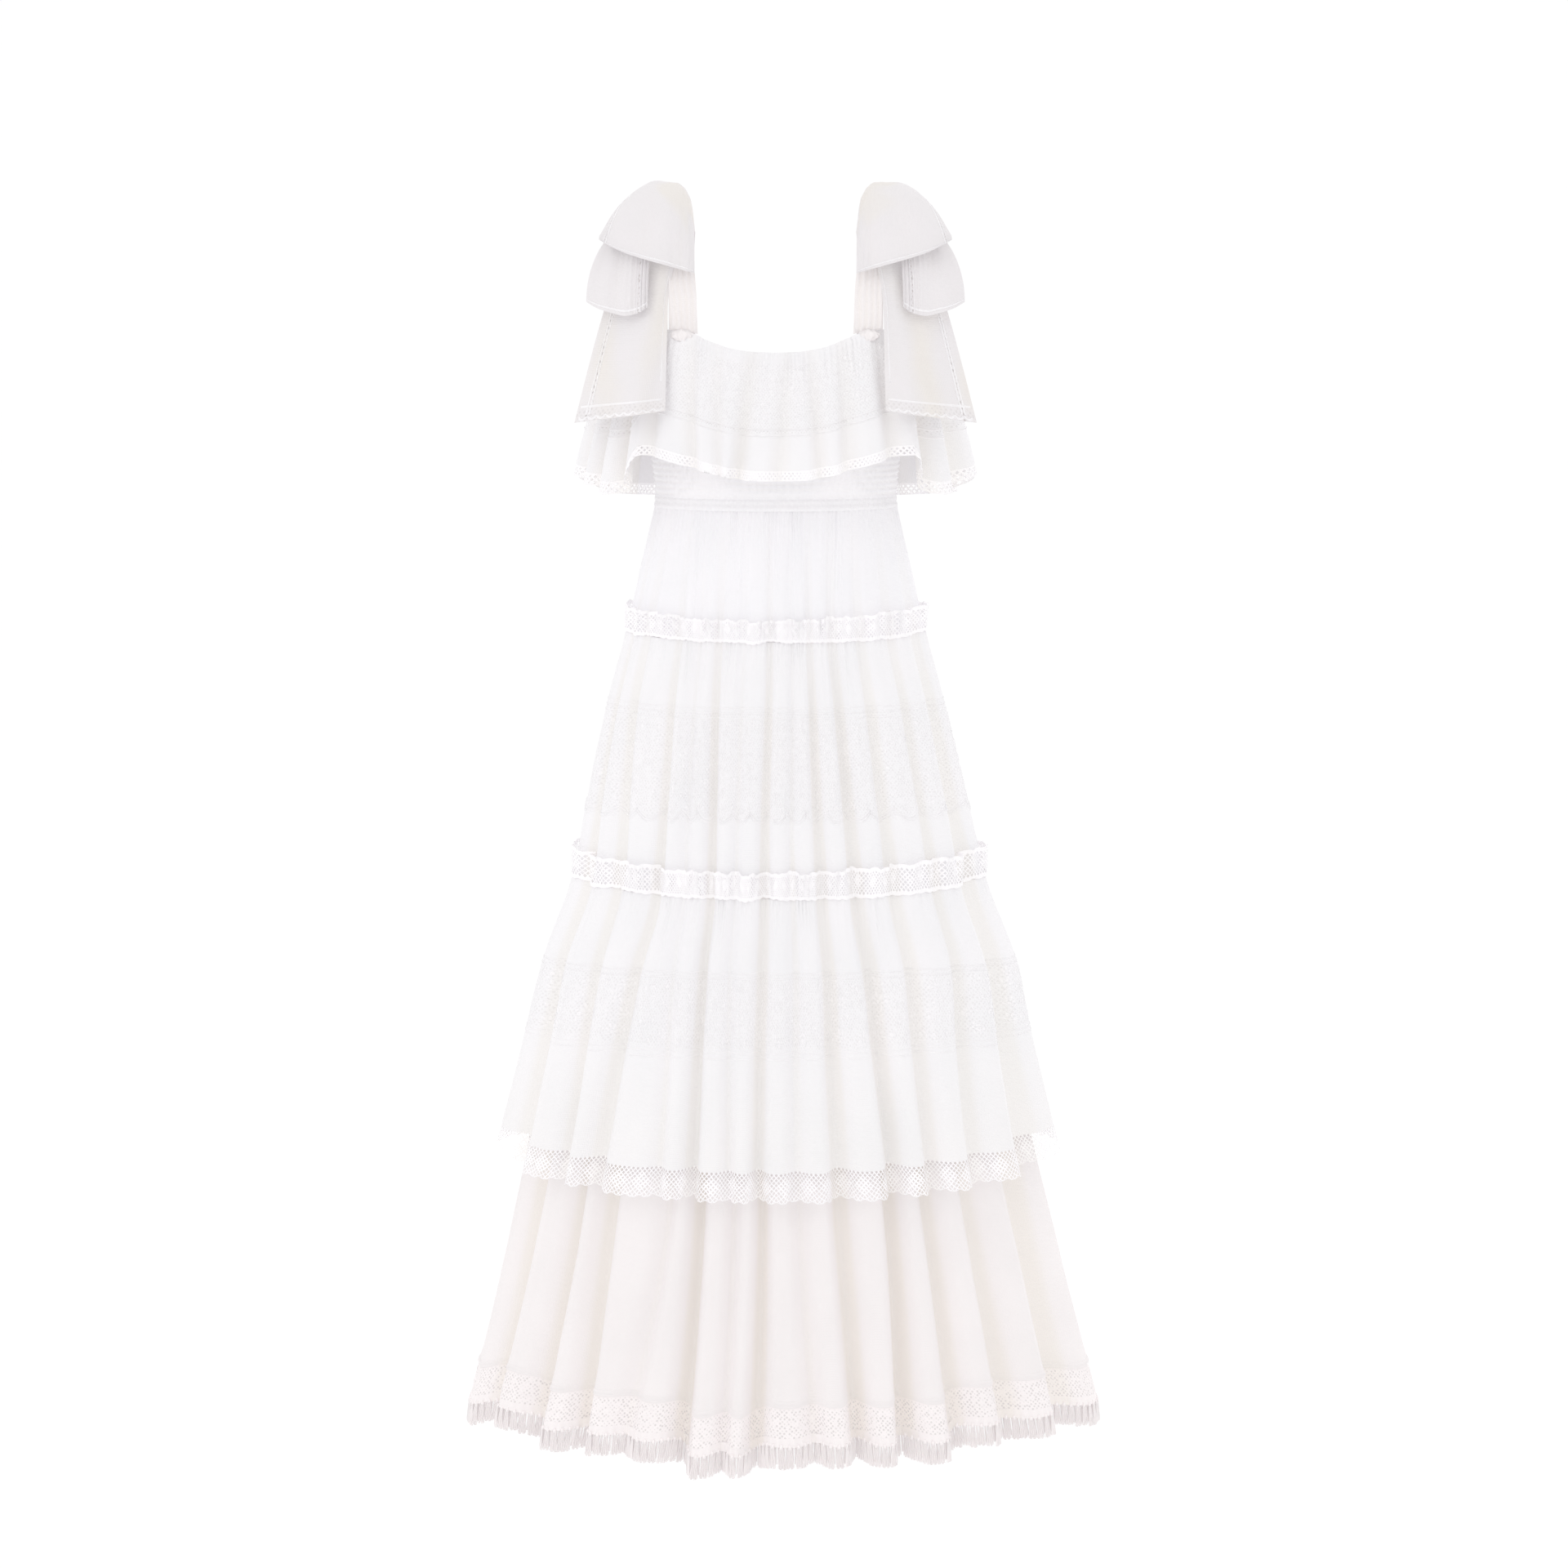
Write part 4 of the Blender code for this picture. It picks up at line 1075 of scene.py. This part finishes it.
def on_strap(side, u, v, out=0.0):
    """Strap over the shoulder: u runs from its inner to its outer edge, v from front to back."""
    y, z, middle, half = (column(9 * v) for column in strap_curves)
    x = middle + 0.0012 + (2 * u - 1) * (half + 0.0038) + 0.0065 * min(1.0, max(0.0, 4 * v - 2))
    end = min(1.0, v * 9, (1 - v) * 9)
    if end < 1.0:
        off = math.degrees(math.asin(x / NECKLINE[0]))
        seat = neckline(off if v < 0.5 else 180 - off) + 0.0015
        z = seat * (1 - end) + z * end
    rib = 0.0010 * math.sin(2 * math.pi * (4.5 * u + 0.7 * noise.noise(Vector((v * 9, u, side)))))
    lift = rib + 0.0024 * math.sin(math.pi * u) + out
    lean = min(1.0, max(-1.0, (v - 0.5) * 3.2))
    point = Vector((side * x, y + lift * lean, z + lift * (1 - abs(lean))))
    # Cream all over, with painted shade deeper in the valleys between the gathers.
    return point, min(1.0, max(0.0, 0.25 - rib * 180))


def mirrored(place, side):
    """The same piece for the other shoulder, with its cloth still the right way out."""
    return place if side > 0 else lambda u, v, *more: place(1 - u, v, *more)


# Sash voile lies double in the bow, so less light comes through it, and it looks a little greyer and
# creamier than the skirt.
# Its greyer, creamier colour and stronger fold cream are painted shade for the light the double cloth holds
# back.
SASH = cotton("cotton_voile_sash_plain_weave", "#DFDBDD", "#DAD7D8", 0.0014, lace=True, fold_shade_strength=0.32)
STRAP_CUT, UPPER_CUT, LOWER_CUT, TAIL_CUT = (0.028, 0.43), (0.145, 0.30), (0.095, 0.32), (0.095, 0.27)


def sash_piece(blank, place, nodes, lines, lace):
    """A stretch of sash cut from a blank, with its corded lines, and net where lace(u, v) says."""
    kind, label, side, columns, rows, cut = blank
    upright = mirrored(place, side)
    bm = flat_cloth(columns, rows, cut)
    drape(bm, upright, mirrored(lace, side))
    piece = finished(bm, f"{kind}_cloth_{label}", WARM if kind == "strap" else SASH, nodes)
    cords = empty_lace()
    for path, width in lines:
        facing = path if side > 0 else (lambda t, path=path: (1 - path(t)[0], path(t)[1]))
        raise_rib(cords, upright, 60, facing, width, 0.0009, cut)
    if lines:
        finished(cords, f"{kind}_cording_{label}", THREAD)
    else:
        cords.free()


def loop_line(t, gap=0.0):
    """The corded line of a loop, which nears its outer edge towards both hems."""
    return 0.76 + 0.14 * abs(2 * t - 1) ** 1.5 + gap, t


def tail_line(t, gap=0.0):
    """The corded line down a tail, near its outer edge."""
    return 0.80 + 0.05 * t + gap, 0.02 + 0.96 * t


def loop_hem(t):
    return 0.02 + 0.96 * t, 0.012


for label, side in (("left", -1), ("right", 1)):
    sash_piece(
        ("strap", label, side, 24, 90, STRAP_CUT),
        functools.partial(on_strap, side),
        (f"strap_{label}",),
        (),
        lambda u, v: 0.0,
    )
    sash_piece(
        ("upper_loop", label, side, 56, 48, UPPER_CUT),
        functools.partial(on_loop, upper_curves, 6, side),
        (f"upper_loop_{label}",),
        ((loop_line, 0.0022), (lambda t: loop_line(t, 0.035), 0.0016), (loop_hem, 0.0016)),
        lambda u, v: 1.0 if 0 < u - loop_line(v)[0] < 0.035 else 0.3 if u > loop_line(v)[0] else 0.0,
    )
    sash_piece(
        ("lower_loop", label, side, 56, 48, LOWER_CUT),
        functools.partial(on_loop, lower_curves, 5, side),
        (f"lower_loop_{label}",),
        ((lambda t: (0.16, t), 0.0016), (lambda t: (0.22, t), 0.0016), (loop_hem, 0.0016)),
        lambda u, v: 1.0 if 0.16 < u < 0.22 else 0.0,
    )
    for part, facing in (("front", 1), ("back", -1)):
        sash_piece(
            (f"tail_{part}", label, side * facing, 40, 60, TAIL_CUT),
            functools.partial(on_tail, side, facing),
            (f"tail_{part}_{label}",),
            (
                (tail_line, 0.0018),
                (lambda t: tail_line(t, 0.035), 0.0018),
                (lambda t: (0.03 + 0.94 * t, 0.955), 0.0018),
                (lambda t: (0.03 + 0.94 * t, 0.985 + 0.010 * abs(math.sin(math.pi * 9 * t))), 0.0018),
                (lambda t: (0.06, 0.05 + 0.84 * t), 0.0016),
            ),
            lambda u, v: 1.0 if 0 < u - tail_line(v)[0] < 0.04 else 0.3 if v > 0.955 else 0.0,
        )

# Strap feet: each strap is drawn together and bunched into a small puff of voile, where it is sewn to
# the elastic neckline in front.
FOOT_X, FOOT_Y, FOOT_Z = 0.1010, -0.0960, -0.1435
for label, side in (("left", -1), ("right", 1)):
    bm = empty_lace()
    bmesh.ops.create_uvsphere(bm, u_segments=32, v_segments=18, radius=1.0)
    for vert in bm.verts:
        ruck = 1 + 0.16 * math.sin(9 * math.atan2(vert.co.y, vert.co.x)) + 0.25 * noise.noise(vert.co * 2.2)
        x = side * FOOT_X + 0.0105 * vert.co.x * ruck
        vert.co = Vector((x, FOOT_Y + 0.0042 * vert.co.y * ruck, FOOT_Z + 0.0058 * vert.co.z * ruck))
    finished(bm, f"strap_foot_{label}", WARM)

# Bow knot: the sash wound once round the middle of the bow and creased lengthways. It grips the strap
# and both tails below the upper loop.
KNOT_X, KNOT_Z = 0.1133, 0.0104
for label, side in (("left", -1), ("right", 1)):
    bm = empty_lace()
    bmesh.ops.create_uvsphere(bm, u_segments=40, v_segments=20, radius=1.0)
    for vert in bm.verts:
        turn = math.atan2(vert.co.z, vert.co.x)
        ridge = 1 + 0.05 * math.sin(9 * turn + 2 * vert.co.y) - 0.06 * abs(vert.co.y)
        x = side * KNOT_X + 0.0085 * vert.co.x * ridge
        vert.co = Vector((x, 0.0130 * vert.co.y, KNOT_Z + 0.0100 * vert.co.z * ridge))
    finished(bm, f"bow_knot_cloth_{label}", SASH, (f"bow_knot_{label}",))

# Floor: a plain white studio floor of matt paint, wide enough to reach the horizon. It lies well below
# the hem, since the dress hangs from its straps.
FLOOR_RADIUS, FLOOR_BELOW_HEM = 40.0, 0.50
bm = bmesh.new()
bmesh.ops.create_circle(bm, cap_ends=True, segments=96, radius=FLOOR_RADIUS)
bmesh.ops.translate(bm, vec=(0, 0, cad_box[0][2] - FLOOR_BELOW_HEM), verts=bm.verts)
ground = to_mesh(bm, "studio_floor")
paint = bpy.data.materials.new("matt_white_floor_paint")
paint.use_nodes = True
paint.node_tree.nodes["Principled BSDF"].inputs["Base Color"].default_value = colour("#FFFFFF")
paint.node_tree.nodes["Principled BSDF"].inputs["Roughness"].default_value = 1.0
paint.node_tree.nodes["Principled BSDF"].inputs["Specular IOR Level"].default_value = 0.0
ground.materials.append(paint)
floor = bpy.data.objects.new("studio_floor", ground)
bpy.context.scene.collection.objects.link(floor)

# Light: a white room all round, a wide soft lamp high on the left in front, and a weaker one on the
# right behind. Each row gives a lamp's place, its watts and its width.
sky = bpy.data.worlds.new("white_room")
sky.use_nodes = True
sky.node_tree.nodes["Background"].inputs["Color"].default_value = (1.0, 1.0, 1.0, 1.0)
sky.node_tree.nodes["Background"].inputs["Strength"].default_value = 0.94
bpy.context.scene.world = sky
for name, place, power, size in (
    ("soft_key", (-2.6, -3.0, 2.2), 12.0, 2.2),
    ("soft_fill", (2.8, 2.4, 1.8), 8.0, 2.4),
):
    lamp = bpy.data.lights.new(name, "AREA")
    lamp.shape = "DISK"
    lamp.size = size
    lamp.energy = power
    stand = bpy.data.objects.new(name, lamp)
    stand.location = place
    stand.rotation_euler = (Vector((0, 0, -0.7)) - Vector(place)).to_track_quat("-Z", "Y").to_euler()
    bpy.context.scene.collection.objects.link(stand)
bpy.context.scene.view_settings.view_transform = "Standard"
bpy.context.scene.view_settings.exposure = 0.10
